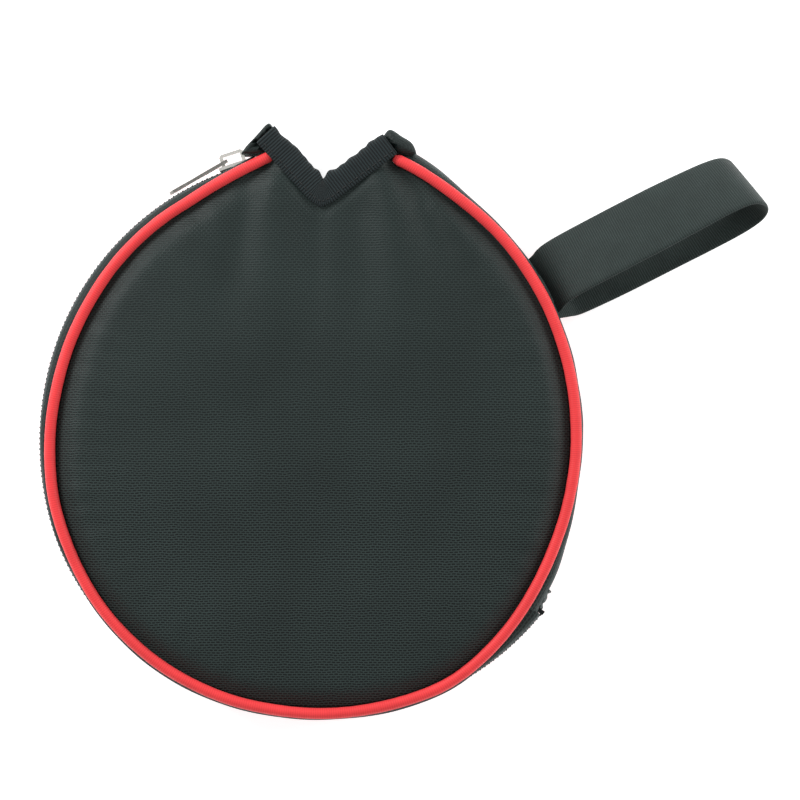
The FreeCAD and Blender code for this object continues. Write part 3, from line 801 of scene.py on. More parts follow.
def follow_cover(piece: bpy.types.Object, side: Side) -> bpy.types.Object:
    """Bake a front piece's transform into its mesh, and attach a back piece to the base body."""
    if side is Side.BACK:
        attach(piece, "base")
    else:
        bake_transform(piece)
    return piece


def hand_over(
    piece: bpy.types.Object, material: bpy.types.Material, moves: "Side | str", slot: str,
    *nodes: str,
) -> bpy.types.Object:
    """Paint a piece, attach it to its body or bake it in place, and hide the frame's pieces that
    it replaces.

    Args:
        piece: the finished mesh.
        material: its material.
        moves: the cover it belongs to, or the name of the body it is attached to.
        slot: not used.
        nodes: the frame's own pieces that it replaces.

    Returns:
        The same piece.
    """
    paint(piece, material)
    if isinstance(moves, Side):
        follow_cover(piece, moves)
    else:
        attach(piece, moves)
    if nodes:
        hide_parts(*nodes)
    return piece


# ------------------------------------------------------------------ covers


@dataclass(frozen=True)
class Crease:
    """A soft fold pulled into a cover: where it starts, where it runs and how deep it is."""

    start: Pair
    bearing: float
    length: float
    width: float
    depth: float
    spread: float = 0.9
    rise: Pair = (-0.12, 0.1)
    fall: float = 0.35

    def height(self, spot: Vector) -> float:
        """Return the fold's height at a spot of the ground plan, in millimetres."""
        offset = spot - flat(*self.start)
        run = heading(self.bearing)
        ahead = offset.dot(run)
        aside = offset.cross(run).z
        widening = self.width * (1.0 + self.spread * max(0.0, ahead) / self.length)
        fade = smooth(ahead, self.rise[0] * self.length, self.rise[1] * self.length)
        fade *= 1.0 - smooth(ahead, self.fall * self.length, self.length)
        return self.depth * fade * bell(aside, widening)


@dataclass(frozen=True)
class Billow:
    """How the cloth is blown out from behind, on a copy ten times its size."""

    scale: float = 10.0
    frames: int = 20
    pressure: float = 4.0
    quality: int = 6
    mass: float = 0.15
    stretch: float = 40.0
    shear: float = 20.0
    bend: float = 3.0
    shrink: float = -0.012

    def rises(self, sheet: bpy.types.Object, held: Sequence[float]) -> list[float]:
        """Return how far each vertex of a sheet swells, in millimetres.

        Args:
            sheet: the flat sheet, which stays as it is.
            held: 1 where seams hold a vertex still, 0 where it is free.

        Returns:
            One height for each vertex.
        """
        trial = sheet.copy()
        trial.data = sheet.data.copy()
        bpy.context.collection.objects.link(trial)
        trial.data.transform(Matrix.Scale(self.scale, 4))
        pins = trial.vertex_groups.new(name="seams")
        for index, hold in enumerate(held):
            pins.add([index], hold, "REPLACE")
        cloth = trial.modifiers.new("Cloth", "CLOTH")
        settings = {
            "quality": self.quality, "mass": self.mass, "tension_stiffness": self.stretch,
            "compression_stiffness": self.stretch, "shear_stiffness": self.shear,
            "bending_stiffness": self.bend, "use_pressure": True,
            "uniform_pressure_force": self.pressure, "shrink_min": self.shrink,
            "vertex_group_mass": "seams",
        }
        for key, value in settings.items():
            setattr(cloth.settings, key, value)
        cloth.settings.effector_weights.gravity = 0.0
        cloth.collision_settings.use_collision = False
        cloth.collision_settings.use_self_collision = False
        scene = bpy.context.scene
        for step in range(1, self.frames + 1):
            scene.frame_set(step)
        swollen = trial.evaluated_get(bpy.context.evaluated_depsgraph_get()).data
        rises = [abs(vertex.co.z) / self.scale / MM for vertex in swollen.vertices]
        bpy.data.objects.remove(trial)
        scene.frame_set(1)
        return rises


@dataclass
class PaddedCover:
    """One padded cover: coated outer cloth, foam and lining quilted into a single thick sheet."""

    side: Side
    crown: float
    creases: Sequence[Crease]
    inset: float = 3.6
    thickness: float = 3.4
    cells: int = 96
    seam_dive: float = 4.2
    seam_reach: float = 4.4
    squeezed: float = 0.35
    tape_level: float = 34.9
    tape_dip: float = 0.8
    face_level: float = 36.0
    pinned: float = 2.5
    loose: float = 8.0
    pucker: float = 0.44
    pucker_pitch: float = 6.5
    pucker_band: Pair = (3.0, 7.0)
    pucker_fade: float = 30.0
    unevenness: float = 0.35
    waves: Pair = (42.0, 60.0)
    seam_flat: float = 4.0
    quarters: tuple[float, float, float, float] = (-45.0, 45.0, 135.0, 225.0)
    mouth_rim: Pair = (101.5, 75.0)
    mouth_free: float = 0.5
    mouth_short: Pair = (4.0, 3.0)
    mouth_middle: Pair = (2.0, 99.0)
    mouth_reach: float = 26.0
    mouth_near: float = 0.3
    mouth_hold: Pair = (8.0, 17.0)
    tape_edge: Pair = (6.5, 9.5)
    tape_crease: Pair = (9.2, 1.5)
    taut: float = 0.85
    tape_zone: Pair = (78.0, 26.0)
    foam_ramp: float = 7.0
    floor: float = -0.0004
    billow: Billow = Billow()

    def _top_side(self) -> list[Vector]:
        """Return the outline across the mouth from left to right, one point per column."""
        left_corner = MOUTH.end(-1, self.mouth_free, self.mouth_short[0])
        right_corner = MOUTH.end(1, self.mouth_free, self.mouth_short[1])
        left_rim, right_rim = self.mouth_rim
        apex = MOUTH.corner(self.mouth_free)
        parts = (
            (RIM.point(left_rim, self.inset), left_corner, 4),
            (left_corner, apex, 12),
            (apex, right_corner, 14),
            (right_corner, RIM.point(right_rim, self.inset), 4),
        )
        before, after = 32, 30
        outline = [
            RIM.point(mix(self.quarters[2], left_rim, step / before), self.inset)
            for step in range(before)
        ]
        for start, end, count in parts:
            outline.extend(start.lerp(end, step / count) for step in range(count))
        outline += [
            RIM.point(mix(right_rim, self.quarters[1], step / after), self.inset)
            for step in range(after + 1)
        ]
        return outline

    def _arc_side(self, start: float, end: float) -> list[Vector]:
        """Return the outline between two bearings, one point per cell."""
        steps = self.cells
        return [RIM.point(mix(start, end, n / steps), self.inset) for n in range(steps + 1)]

    def _flat_sheet(self) -> tuple[bpy.types.Object, list[Vector]]:
        """Return the cover's flat outer sheet and its outline."""
        lower_right, upper_right, upper_left, lower_left = self.quarters
        top, bottom = self._top_side(), self._arc_side(lower_left, lower_right + FULL_TURN)
        left = self._arc_side(lower_left, upper_left)
        right = self._arc_side(lower_right, upper_right)
        last = self.cells

        def place(a: float, b: float) -> Vector:
            """Return a point of the sheet from its four outline sides."""
            column, row = round(a * last), round(b * last)
            spot = bottom[column].lerp(top[column], b) + left[row].lerp(right[row], a)
            spot -= bottom[0].lerp(bottom[last], a).lerp(top[0].lerp(top[last], a), b)
            return spot

        def chart(a: float, b: float) -> Pair:
            """Return the cloth's own coordinates, which run level across the case."""
            spot = place(a, b)
            return spot.x + CLOTH_MARGIN, spot.y + CLOTH_MARGIN

        sheet = shaped_grid(f"{self.side.value}_cover", last, last, place, chart)
        return sheet, [*top, *bottom, *left, *right]

    def _edge_distances(self, sheet: bpy.types.Object, outline: list[Vector]) -> list[float]:
        """Return each vertex's distance from the sewn outline, in millimetres."""
        tree = KDTree(len(outline))
        for index, point in enumerate(outline):
            tree.insert(point, index)
        tree.balance()
        return [tree.find(vertex.co / MM)[2] for vertex in sheet.data.vertices]

    def _mouth_distance(self, spot: Vector) -> float:
        """Return how far a spot lies into the cover from the V's free edge."""
        offset = spot - MOUTH.apex
        return max(offset.dot(MOUTH.inward(side)) for side in (-1, 1))

    def _held(self, spot: Vector, edge: float) -> float:
        """Return 1 where seams hold the cloth still, falling to 0 where it is free."""
        rim = 1.0 - smooth(edge, self.pinned, self.loose)
        closeness = bell((spot - flat(*self.mouth_middle)).length, self.mouth_reach)
        if closeness <= self.mouth_near:
            return rim
        return max(rim, 1.0 - smooth(self._mouth_distance(spot), *self.mouth_hold))

    def _swell(self, sheet: bpy.types.Object, held: list[float]) -> list[float]:
        """Return each vertex's rise, with the highest one at the crown's height."""
        rises = self.billow.rises(sheet, held)
        highest = max(rises) or 1.0
        LOG.info("%s cover billowed %.2f mm before scaling", self.side.value, highest)
        return [rise * self.crown / highest for rise in rises]

    def _fold_height(self, spot: Vector, edge: float) -> float:
        """Return the height of folds and seam puckers at a spot, in millimetres."""
        bearing = math.degrees(math.atan2(spot.y, spot.x))
        around = bearing * MM_PER_DEGREE / self.pucker_pitch
        gather = noise.noise(Vector((around, edge / self.pucker_fade, self.side.out)))
        middle, width = self.pucker_band
        height = self.pucker * gather * bell(edge - middle, width)
        long, wide = self.waves
        height += self.unevenness * noise.noise(Vector((spot.x / long, spot.y / wide, 3.3)))
        height += sum(crease.height(spot) for crease in self.creases)
        return height * smooth(edge, 0.0, self.seam_flat)

    def _level(self, spot: Vector, edge: float) -> float:
        """Return the cover's level at a spot before it swells, in millimetres."""
        mouth = self._mouth_distance(spot)
        low, aside = self.tape_zone
        near_tape = 1.0 if spot.y > low and abs(spot.x - self.mouth_middle[0]) < aside else 0.0
        under_tape = (1.0 - smooth(mouth, *self.tape_edge)) * near_tape
        level = mix(self.face_level, self.tape_level, under_tape)
        level -= self.seam_dive * bell(edge, self.seam_reach) * (1.0 - under_tape)
        middle, width = self.tape_crease
        level -= self.tape_dip * bell(mouth - middle, width) * near_tape
        return level + self._fold_height(spot, edge) * (1.0 - self.taut * under_tape)

    def build(self, finishes: Finishes) -> bpy.types.Object:
        """Args:
            finishes: the case's materials.

        Returns:
            The finished piece.
        """
        sheet, outline = self._flat_sheet()
        edges = self._edge_distances(sheet, outline)
        spots = [vertex.co / MM for vertex in sheet.data.vertices]
        held = [self._held(spot, edge) for spot, edge in zip(spots, edges)]
        rises = self._swell(sheet, held)
        for vertex, spot, edge, rise in zip(sheet.data.vertices, spots, edges, rises):
            vertex.co.z = self.side.height(self._level(spot, edge) + rise) * MM
            if self.side is Side.BACK:
                vertex.co.z = max(vertex.co.z, self.floor)
        squeeze = sheet.vertex_groups.new(name="foam")
        for index, edge in enumerate(edges):
            grip = mix(self.squeezed, 1.0, smooth(edge, 0.0, self.foam_ramp))
            squeeze.add([index], grip, "REPLACE")
        apply_modifier(
            sheet, "SOLIDIFY", thickness=self.thickness * MM, offset=-self.side.out,
            use_even_offset=False, material_offset=1, material_offset_rim=0,
            vertex_group="foam",
        )
        subdivide(sheet)
        face_outwards(sheet)
        shade(sheet)
        paint(sheet, finishes.shell, finishes.lining)
        name = self.side.value
        nodes = [f"{name}_panel", f"{name}_foam", f"{name}_lining"]
        if self.side is Side.FRONT:
            nodes += [f"{node}_margin" for node in nodes]
        follow_cover(sheet, self.side)
        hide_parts(*nodes)
        return sheet


# ------------------------------------------------------------------ piping and gusset


@dataclass
class Piping:
    """The red corded edge between a cover and the gusset."""

    side: Side
    bead: float = 1.95
    level: float = 33.0
    first: float = 99.6
    last: float = 435.6
    length: float = 575.0
    steps: int = 760
    end_taper: float = 2.4
    lumps: float = 0.03
    sway: float = 0.22
    lift: float = 0.25

    def build(self, finishes: Finishes) -> bpy.types.Object:
        """Build the bead with its slightly uneven, tucked-in ends."""
        level = self.side.height(self.level)

        def path(share: float) -> Vector:
            """Return the bead's centre line."""
            bearing = mix(self.first, self.last, share)
            sway = self.sway * wander(self.side.out + 3.0, bearing, 11.0)
            lift = self.lift * wander(self.side.out + 5.0, bearing, 17.0)
            return RIM.point(bearing, self.bead + sway, level + lift)

        def radius(share: float, angle: float) -> float:
            """Return the bead's radius, pinched at its ends and a little lumpy."""
            end = min(share, 1.0 - share) * 600.0
            lump = self.lumps * wander(8.0, share * 600.0, 3.5)
            return self.bead * (0.6 + 0.4 * smooth(end, 0.0, self.end_taper)) * (1.0 + lump)

        name = self.side.value
        bead = tube(f"{name}_piping_bead", path, radius, self.length, self.steps, 16)
        nodes = [f"{name}_piping", f"{name}_piping_cord"]
        if self.side is Side.FRONT:
            nodes += [f"{name}_piping_margin", f"{name}_piping_margin_cord"]
        return hand_over(bead, finishes.piping, self.side, "piping_cloth", *nodes)


def zip_stray(bearing: float) -> float:
    """Return how far the sewn-in zip bows out beyond its circle at a bearing."""
    return 1.3 * bell(bearing - 207.0, 22.0) + 0.8 * bell(bearing - 237.0, 20.0)


@dataclass
class GussetStrip:
    """The folded cloth strip between the piping and the zip tape."""

    side: Side
    first: float = 103.5
    last: float = 320.8
    tape_radius: float = 98.3
    swell: float = 0.35
    steps: int = 300

    def build(self, finishes: Finishes) -> bpy.types.Object:
        """Build the strip, rolled out from under the piping and folded under at the tape."""

        def profile(bearing: float) -> list[Vector]:
            """Return the strip's section as radius and height, from the piping to the fold."""
            rim = RIM.radius(bearing)
            swell = self.swell * wander(self.side.out + 11.0, bearing, 9.0)
            tape = self.tape_radius + zip_stray(bearing)
            outer = max(rim + 0.5, tape + 0.4) + swell
            return [
                flat(rim - 3.0, 31.6), flat(rim - 1.2, 31.2), flat(mix(rim, outer, 0.6), 30.2),
                flat(outer, 28.2), flat(mix(outer, tape, 0.4) + 0.15, 25.6),
                flat(tape + 0.25, 23.3), flat(tape - 0.1, 22.7),
                flat(tape - 0.7, 23.1), flat(tape - 0.8, 25.0),
            ]

        def place(a: float, b: float) -> Vector:
            """Return a point of the strip."""
            bearing = mix(self.first, self.last, a)
            section = soft_curve(profile(bearing), b)
            spot = heading(bearing) * section.x
            spot.z = self.side.height(section.y)
            return spot

        name = self.side.value
        chart = unrolled(370.0, 15.0)
        strip = cloth_strip(f"{name}_gusset_cloth", self.steps, 12, place, chart, 0.6)
        return hand_over(
            strip, finishes.gusset, self.side, "shell_cloth", f"{name}_gusset_strip",
        )


@dataclass
class SeamTape:
    """The binding tape over the raw seam edges inside the case."""

    side: Side
    first: float = 104.0
    last: float = 432.0
    steps: int = 300
    sway: float = 0.3
    fold: tuple[Pair, ...] = (
        (4.6, 30.4), (4.4, 29.0), (4.2, 28.2), (5.2, 27.7), (6.4, 28.2), (6.8, 29.2), (6.8, 30.4),
    )

    def build(self, finishes: Finishes) -> bpy.types.Object:
        """Build the tape as a band folded over the seam allowance."""
        levels = [flat(*point) for point in self.fold]

        def place(a: float, b: float) -> Vector:
            """Return a point of the tape."""
            bearing = mix(self.first, self.last, a)
            section = soft_curve(levels, b)
            sway = self.sway * wander(self.side.out + 21.0, bearing, 8.0)
            return RIM.point(bearing, section.x + sway, self.side.height(section.y))

        name = self.side.value
        tape = cloth_strip(f"{name}_seam_tape", self.steps, 8, place, unrolled(540.0, 7.0), 0.4)
        nodes = [f"{name}_seam_binding"]
        if self.side is Side.FRONT:
            nodes.append(f"{name}_seam_binding_margin")
        return hand_over(tape, finishes.ribbon, self.side, "binding_ribbon", *nodes)


@dataclass
class HingeGusset:
    """The plain side wall where the case doesn't open, bulging a little beyond the piping."""

    first: float = -40.2
    last: float = 74.6
    steps: int = 200
    seams: Pair = (4.4, 31.6)
    tucked: float = -2.2
    lower_swell: float = 2.9
    upper_swell: float = 2.5
    plain_swell: float = 0.3
    crumple: float = 0.35

    def bulge(self, bearing: float) -> float:
        """Return how far the wall stands out beyond the piping at mid height."""
        low = self.lower_swell * (1.0 - smooth(bearing, -44.0, -6.0))
        high = self.upper_swell * smooth(bearing, 52.0, 72.0)
        return self.plain_swell + low + high + 0.2 * wander(31.0, bearing, 9.0)

    def build(self, finishes: Finishes) -> bpy.types.Object:
        """Build the wall as one sheet of cloth with its seam allowances turned in."""

        def place(a: float, b: float) -> Vector:
            """Return a point of the wall."""
            bearing = mix(self.first, self.last, a)
            height = mix(*self.seams, b)
            round_out = math.sqrt(max(0.0, 1.0 - (2.0 * b - 1.0) ** 4))
            crumple = self.crumple * noise.noise(Vector((bearing / 7.0, height / 9.0, 5.0)))
            reach = mix(self.tucked, self.bulge(bearing) + crumple, round_out)
            return RIM.point(bearing, -reach, height)

        chart = unrolled(195.0, 30.0)
        wall = cloth_strip("hinge_side_wall", self.steps, 22, place, chart, 1.0)
        return hand_over(wall, finishes.gusset, "base", "shell_cloth", "hinge_gusset")


@dataclass
class ZipEndTab:
    """The small cloth tab folded over the zip's open end and crumpled where it is sewn."""

    middle: float = -36.2
    spread: float = 2.1
    low: float = 9.0
    high: float = 27.0
    proud: float = 0.35
    curl: float = 0.9
    crumple: float = 0.5
    wall: HingeGusset = field(default_factory=HingeGusset)

    def build(self, finishes: Finishes) -> bpy.types.Object:
        """Build the tab as a patch that follows the side wall and stands a little proud."""

        def place(a: float, b: float) -> Vector:
            """Return a point of the tab."""
            bearing = self.middle + (a - 0.5) * 2.0 * self.spread
            height = mix(self.low, self.high, b)
            curl = self.curl * smooth(abs(a - 0.5), 0.3, 0.5) + 0.5 * bell(a - 0.45, 0.2)
            crumple = self.crumple * noise.noise(Vector((a * 5.0, b * 5.0, 9.0)))
            stand = self.wall.bulge(bearing) + self.proud + curl + crumple
            return RIM.point(bearing, -stand * math.sin(math.pi * mix(0.25, 0.75, b)), height)

        tab = cloth_strip("zip_end_cloth_tab", 18, 18, place, unrolled(7.5, 18.0), 0.8)
        return hand_over(tab, finishes.gusset, "base", "shell_cloth", "zip_end_tab")


# ------------------------------------------------------------------ the zip


@dataclass
class ZipTape:
    """One side of the zip's woven tape."""

    side: Side
    first: float = 103.6
    last: float = 320.9
    radius: float = 96.95
    edges: Pair = (18.9, 26.8)
    slack: float = 0.12

    def build(self, finishes: Finishes) -> bpy.types.Object:
        """Build the tape as a thin upright band."""

        def place(a: float, b: float) -> Vector:
            """Return a point of the tape."""
            bearing = mix(self.first, self.last, a)
            slack = self.slack * wander(41.0, bearing, 6.0)
            spot = heading(bearing) * (self.radius + zip_stray(bearing) + slack)
            spot.z = self.side.height(mix(*self.edges, b))
            return spot

        name = self.side.value
        chart = unrolled(368.0, 8.0)
        tape = cloth_strip(f"{name}_zip_tape_cloth", 240, 6, place, chart, 0.55, 0)
        return hand_over(tape, finishes.tape, self.side, "zip_tape", f"zip_tape_{name}")


@dataclass
class ZipCoil:
    """One half of the zip: a nylon filament wound into teeth that mesh with the other half."""

    side: Side
    first: float = 104.2
    last: float = 320.6
    middle: float = 98.75
    pitch: float = 1.9
    deep: float = 0.85
    filament: float = 0.42
    mesh_level: float = 19.6
    reach: float = 2.0
    squareness: float = 0.8

    def build(self, finishes: Finishes) -> bpy.types.Object:
        """Build the wound filament, half a pitch out of step with the other side."""
        sweep = math.radians(self.last - self.first)
        turns = int(sweep * self.middle / self.pitch)
        phase = 0.0 if self.side is Side.FRONT else 0.5
        height = self.side.height(self.mesh_level)

        def path(share: float) -> Vector:
            """Return the filament's centre line."""
            turn = (share * turns + phase) * math.tau
            bearing = mix(self.first, self.last, share)
            depth = self.middle + zip_stray(bearing) + self.deep * math.cos(turn)
            rise = self.reach * math.sin(turn)
            rise = math.copysign(abs(rise / self.reach) ** self.squareness * self.reach, rise)
            spot = heading(bearing) * depth
            spot.z = height + rise
            return spot

        def radius(share: float, angle: float) -> float:
            """Return the filament's radius."""
            return self.filament

        name = self.side.value
        coil = tube(f"{name}_zip_teeth", path, radius, turns * 8.0, turns * 12, 6)
        return hand_over(coil, finishes.coil, self.side, "zip_coil", f"zip_coil_{name}")


# ------------------------------------------------------------------ the mouth


@dataclass
class MouthRibbon:
    """The ribbed ribbon folded over a cover's V-shaped edge."""

    side: Side
    thickness: float = 0.5
    steps: int = 88
    tip_point: float = 0.45
    left_swell: float = 0.9
    right_swell: float = 0.5
    apex_pinch: float = 0.9
    ruffle: float = 0.8
    ripple: float = 0.34
    first_rib: float = 100.0
    section: tuple[Pair, ...] = (
        (8.2, 35.5), (7.7, 35.95), (5.0, 36.05), (2.0, 36.0), (0.6, 35.5), (-0.1, 34.4),
        (0.1, 32.6), (1.2, 31.5), (4.0, 31.2), (7.6, 31.2),
    )

    def _lean(self, side: int) -> float:
        """Return how far the inner edge runs on past the apex to the mitre."""
        return -(MOUTH.corner(MOUTH.tape) - MOUTH.apex).dot(MOUTH.arm(side))

    def _run(self, side: int, share: float) -> float:
        """Return the distance along an arm's inner edge, negative inside the fan of ribs."""
        tip = MOUTH.left if side < 0 else MOUTH.right
        return mix(-self._lean(side), (tip - MOUTH.apex).length, share)

    def arm_length(self, side: int) -> float:
        """Return the length of an arm's inner edge, from the mitre to its end."""
        return self._run(side, 1.0) - self._run(side, 0.0)

    def edge_point(self, side: int, share: float, section: Vector) -> Vector:
        """Return a point of one arm of the ribbon, whose ribs fan out round the apex."""
        run, inset = self._run(side, share), section.x
        reach = run if run > 0.0 else run * inset / MOUTH.tape
        spot = MOUTH.inward(side) * inset + MOUTH.arm(side) * reach
        if run < 0.0 and spot.length > 0.01:
            spot *= mix(abs(inset) / spot.length, 1.0, self.tip_point)
        spot += MOUTH.apex
        free = 1.0 - smooth(inset, 0.0, MOUTH.tape)
        if side < 0:
            swell = self.left_swell * bell(run - 13.0, 6.0)
        else:
            swell = self.right_swell * bell(run - 21.0, 4.0)
        pinch = self.apex_pinch * bell(run - 3.4, 2.0)
        ruffle = self.ruffle * wander(50.0 + side, run, 2.3) * smooth(run, 1.0, 5.0)
        spot -= MOUTH.inward(side) * (ruffle + swell + pinch) * free
        wave = self.ripple * wander(60.0 + side, run, 3.2) * smooth(run, 2.0, 8.0)
        spot.z = self.side.height(section.y + wave)
        return spot

    def build(self, finishes: Finishes) -> bpy.types.Object:
        """Build the ribbon with its ribs fanned round the bottom of the V."""
        section = EvenCurve([flat(*point) for point in self.section])

        def place(a: float, b: float) -> Vector:
            """Return a point of the ribbon."""
            side = -1 if a < 0.5 else 1
            return self.edge_point(side, abs(a - 0.5) * 2.0, section.at(b))

        def chart(a: float, b: float) -> Pair:
            """Return the unrolled position, with one rib for each step along the inner edge."""
            side = -1 if a < 0.5 else 1
            run = self._run(side, abs(a - 0.5) * 2.0) + self._lean(side)
            return self.first_rib + side * run, b * section.length

        name = self.side.value
        ribbon = cloth_strip(
            f"{name}_mouth_ribbon", self.steps, 26, place, chart, self.thickness,
        )
        return hand_over(
            ribbon, finishes.ribbon, self.side, "binding_ribbon", f"{name}_mouth_binding",
        )


@dataclass
class StitchRow:
    """The lockstitches that hold a mouth ribbon down near its inner edge."""

    ribbon: MouthRibbon
    inset: float = 6.5
    level: float = 36.3
    pitch: float = 2.6
    length: float = 2.0
    radius: float = 0.24

    def _thread(self) -> bpy.types.Object:
        """Model one plump stitch of unit size, lying along X."""
        bpy.ops.object.select_all(action="DESELECT")
        bpy.ops.mesh.primitive_uv_sphere_add(
            segments=8, ring_count=6, radius=1.0, rotation=(0.0, math.pi / 2.0, 0.0),
        )
        bpy.ops.object.transform_apply(rotation=True)
        return bpy.context.active_object

    def _sewn(self, thread: bpy.types.Object, side: int, run: float) -> bpy.types.Object:
        """Return a copy of the stitch laid on one arm of the ribbon.

        Args:
            thread: The stitch of unit size.
            side: -1 for the left arm, 1 for the right arm.
            run: Distance of the stitch's middle along the arm's inner edge.

        Returns:
            The copy, with its own mesh already in place.
        """
        section = flat(self.inset, self.level)
        reach = self.ribbon.arm_length(side)
        ends = [
            self.ribbon.edge_point(side, (run + half * self.length) / reach, section)
            for half in (-0.5, 0.5)
        ]
        along = (ends[1] - ends[0]) / 2.0
        aside = UP.cross(along).normalized() * self.radius
        lift = along.cross(aside).normalized() * self.radius
        turn = Matrix((along * MM, aside * MM, lift * MM)).transposed().to_4x4()
        turn.translation = (ends[0] + ends[1]) / 2.0 * MM
        stitch = thread.copy()
        stitch.data = thread.data.copy()
        stitch.data.transform(turn)
        bpy.context.collection.objects.link(stitch)
        return stitch

    def build(self, finishes: Finishes) -> bpy.types.Object:
        """Sew both arms of the ribbon down, one row of stitches each."""
        thread = self._thread()
        stitches = []
        for side in (-1, 1):
            count = int(self.ribbon.arm_length(side) / self.pitch)
            for number in range(count):
                stitches.append(self._sewn(thread, side, (number + 0.5) * self.pitch))
        bpy.data.objects.remove(thread)
        row = stitches[0]
        only(row)
        for stitch in stitches:
            stitch.select_set(True)
        bpy.ops.object.join()
        row.name = f"{self.ribbon.side.value}_mouth_stitches"
        face_outwards(row)
        shade(row)
        return hand_over(row, finishes.stitch, self.ribbon.side, "binding_ribbon")


@dataclass
class GussetEnd:
    """A gusset end beside the mouth: cloth folded back on itself, bunched and sewn down."""

    name: str
    node: str
    body_side: Side
    outline: Sequence[Pair]
    low: float
    high: float
    tape_floor: float = 5.2
    tape_roof: float = 30.8
    steps: int = 56
    crumple: float = 0.45
    closing: float = 0.16
    girth: float = 34.0
    pinched: float = 0.02
    roundness: float = 0.45

    def _under_tape(self, spot: Vector) -> bool:
        """Tell whether a spot of the ground plan lies beneath the mouth's ribbon."""
        side = -1 if spot.x < MOUTH.apex.x else 1
        offset = spot - MOUTH.apex
        end = MOUTH.left if side < 0 else MOUTH.right
        inside = offset.dot(MOUTH.arm(side)) < (end - MOUTH.apex).length + 0.2
        return inside and offset.dot(MOUTH.inward(side)) < MOUTH.tape + 0.4

    def build(self, finishes: Finishes) -> bpy.types.Object:
        """Build the bunched end as a soft closed form with crumpled sides."""
        loop = [flat(*point) for point in self.outline]
        centre = sum(loop, Vector()) / len(loop)
        points = [*loop, loop[0]]

        def place(a: float, b: float) -> Vector:
            """Return a point of the bunched cloth."""
            around = a % 1.0
            spot = soft_curve(points, around)
            closing = smooth(min(b, 1.0 - b), 0.0, self.closing)
            crumple = self.crumple * noise.noise(Vector((around * 9.0, b * 4.0, self.low)))
            crumple *= math.sin(math.pi * around) ** 2 + 0.2
            outward = (spot - centre).normalized()
            spot = centre + (spot - centre) * mix(self.pinched, 1.0, closing ** self.roundness)
            spot += outward * crumple * closing
            level = mix(self.low, self.high, smooth(b, 0.04, 0.96) * 0.5 + b * 0.5)
            if self._under_tape(spot):
                level = min(max(level, self.tape_floor), self.tape_roof)
            spot.z = level
            return spot

        chart = unrolled(self.girth, self.high - self.low)
        lump = shaped_grid(self.name, self.steps, 24, place, chart, caps=True)
        subdivide(lump)
        face_outwards(lump)
        return hand_over(
            lump, finishes.gusset, self.body_side, "binding_ribbon", self.node,
        )


# ------------------------------------------------------------------ wrist strap


@dataclass
class WristStrap:
    """A loop of ribbed webbing whose ends are sewn into the hinge side.

    The loop is its side view from root to root: distance from the wall and half gap.
    """

    root: Vector = field(default_factory=lambda: Vector((78.4, 52.2, 14.6)))
    bearing: float = 27.0
    roll: float = 22.0
    tip_roll: float = 30.0
    width: float = 24.0
    thickness: float = 1.3
    steps: int = 230
    twist: float = 9.0
    cup: float = 0.5
    waviness: float = 0.5
    cupped: Pair = (4.0, 30.0)
    rolled: Pair = (40.0, 80.0)
    twisted: Pair = (30.0, 80.0)
    bend: Pair = (-1.5, 7.0)
    loop: tuple[Pair, ...] = (
        (-2.4, 0.9), (1.6, 3.6), (4.6, 7.0), (9.5, 9.0), (20.0, 10.2), (34.0, 11.0),
        (48.0, 10.8), (61.0, 9.8), (72.0, 8.4), (78.6, 5.8), (81.4, 0.4), (79.4, -5.2),
        (72.4, -8.0), (60.0, -9.0), (46.0, -9.4), (32.0, -9.4), (18.0, -9.0), (8.0, -7.9),
        (3.6, -5.0), (0.4, -2.4), (-2.4, -1.0),
    )

    def build(self, finishes: Finishes) -> bpy.types.Object:
        """Build the strap as one band that leaves the wall, turns round and comes back."""
        outwards = heading(self.bearing)
        across = flat(-outwards.y, outwards.x)
        line = EvenCurve([flat(*point) for point in self.loop])

        def place(a: float, b: float) -> Vector:
            """Return a point of the webbing."""
            side = line.at(a)
            far = smooth(side.x, *self.rolled)
            lean = math.radians(mix(self.roll, self.tip_roll, far))
            gap = UP * math.cos(lean) + across * math.sin(lean)
            wide = outwards.cross(gap)
            turn = math.radians(self.twist) * smooth(side.x, *self.twisted)
            across_here = wide * math.cos(turn) + outwards * math.sin(turn)
            cup = self.cup * (2.0 * b - 1.0) ** 2 * smooth(side.x, *self.cupped)
            wave = self.waviness * wander(71.0, a * 180.0, 22.0)
            spot = self.root + outwards * side.x + gap * (side.y * (1.0 + 0.02 * wave) - cup)
            return spot + across_here * (b - 0.5) * self.width + gap * wave * 0.4

        chart = unrolled(line.length, self.width)
        strap = cloth_strip(
            "wrist_loop_webbing", self.steps, 12, place, chart, self.thickness,
        )
        paint(strap, finishes.webbing)
        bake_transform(strap)
        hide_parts("wrist_strap")
        return strap


@dataclass
class StrapAnchor:
    """The square of webbing sewn to the side wall over the strap's root."""

    middle: float = 33.4
    spread: float = 3.6
    low: float = 4.6
    high: float = 25.6
    proud: float = 0.55
    edge_drop: float = 0.3
    wall: HingeGusset = field(default_factory=HingeGusset)

    def build(self, finishes: Finishes) -> bpy.types.Object:
        """Build the square lying close on the wall."""

        def place(a: float, b: float) -> Vector:
            """Return a point of the square."""
            bearing = self.middle + (a - 0.5) * 2.0 * self.spread
            height = mix(self.low, self.high, b)
            edge = self.edge_drop * smooth(max(abs(a - 0.5), abs(b - 0.5)), 0.36, 0.5)
            return RIM.point(bearing, -(self.wall.bulge(bearing) + self.proud - edge), height)

        chart = unrolled(12.5, self.high - self.low)
        square = cloth_strip("strap_anchor_square", 16, 20, place, chart, 0.7)
        return hand_over(square, finishes.webbing, "base", "strap_webbing", "strap_anchor")


# ------------------------------------------------------------------ hardware kept from the frame


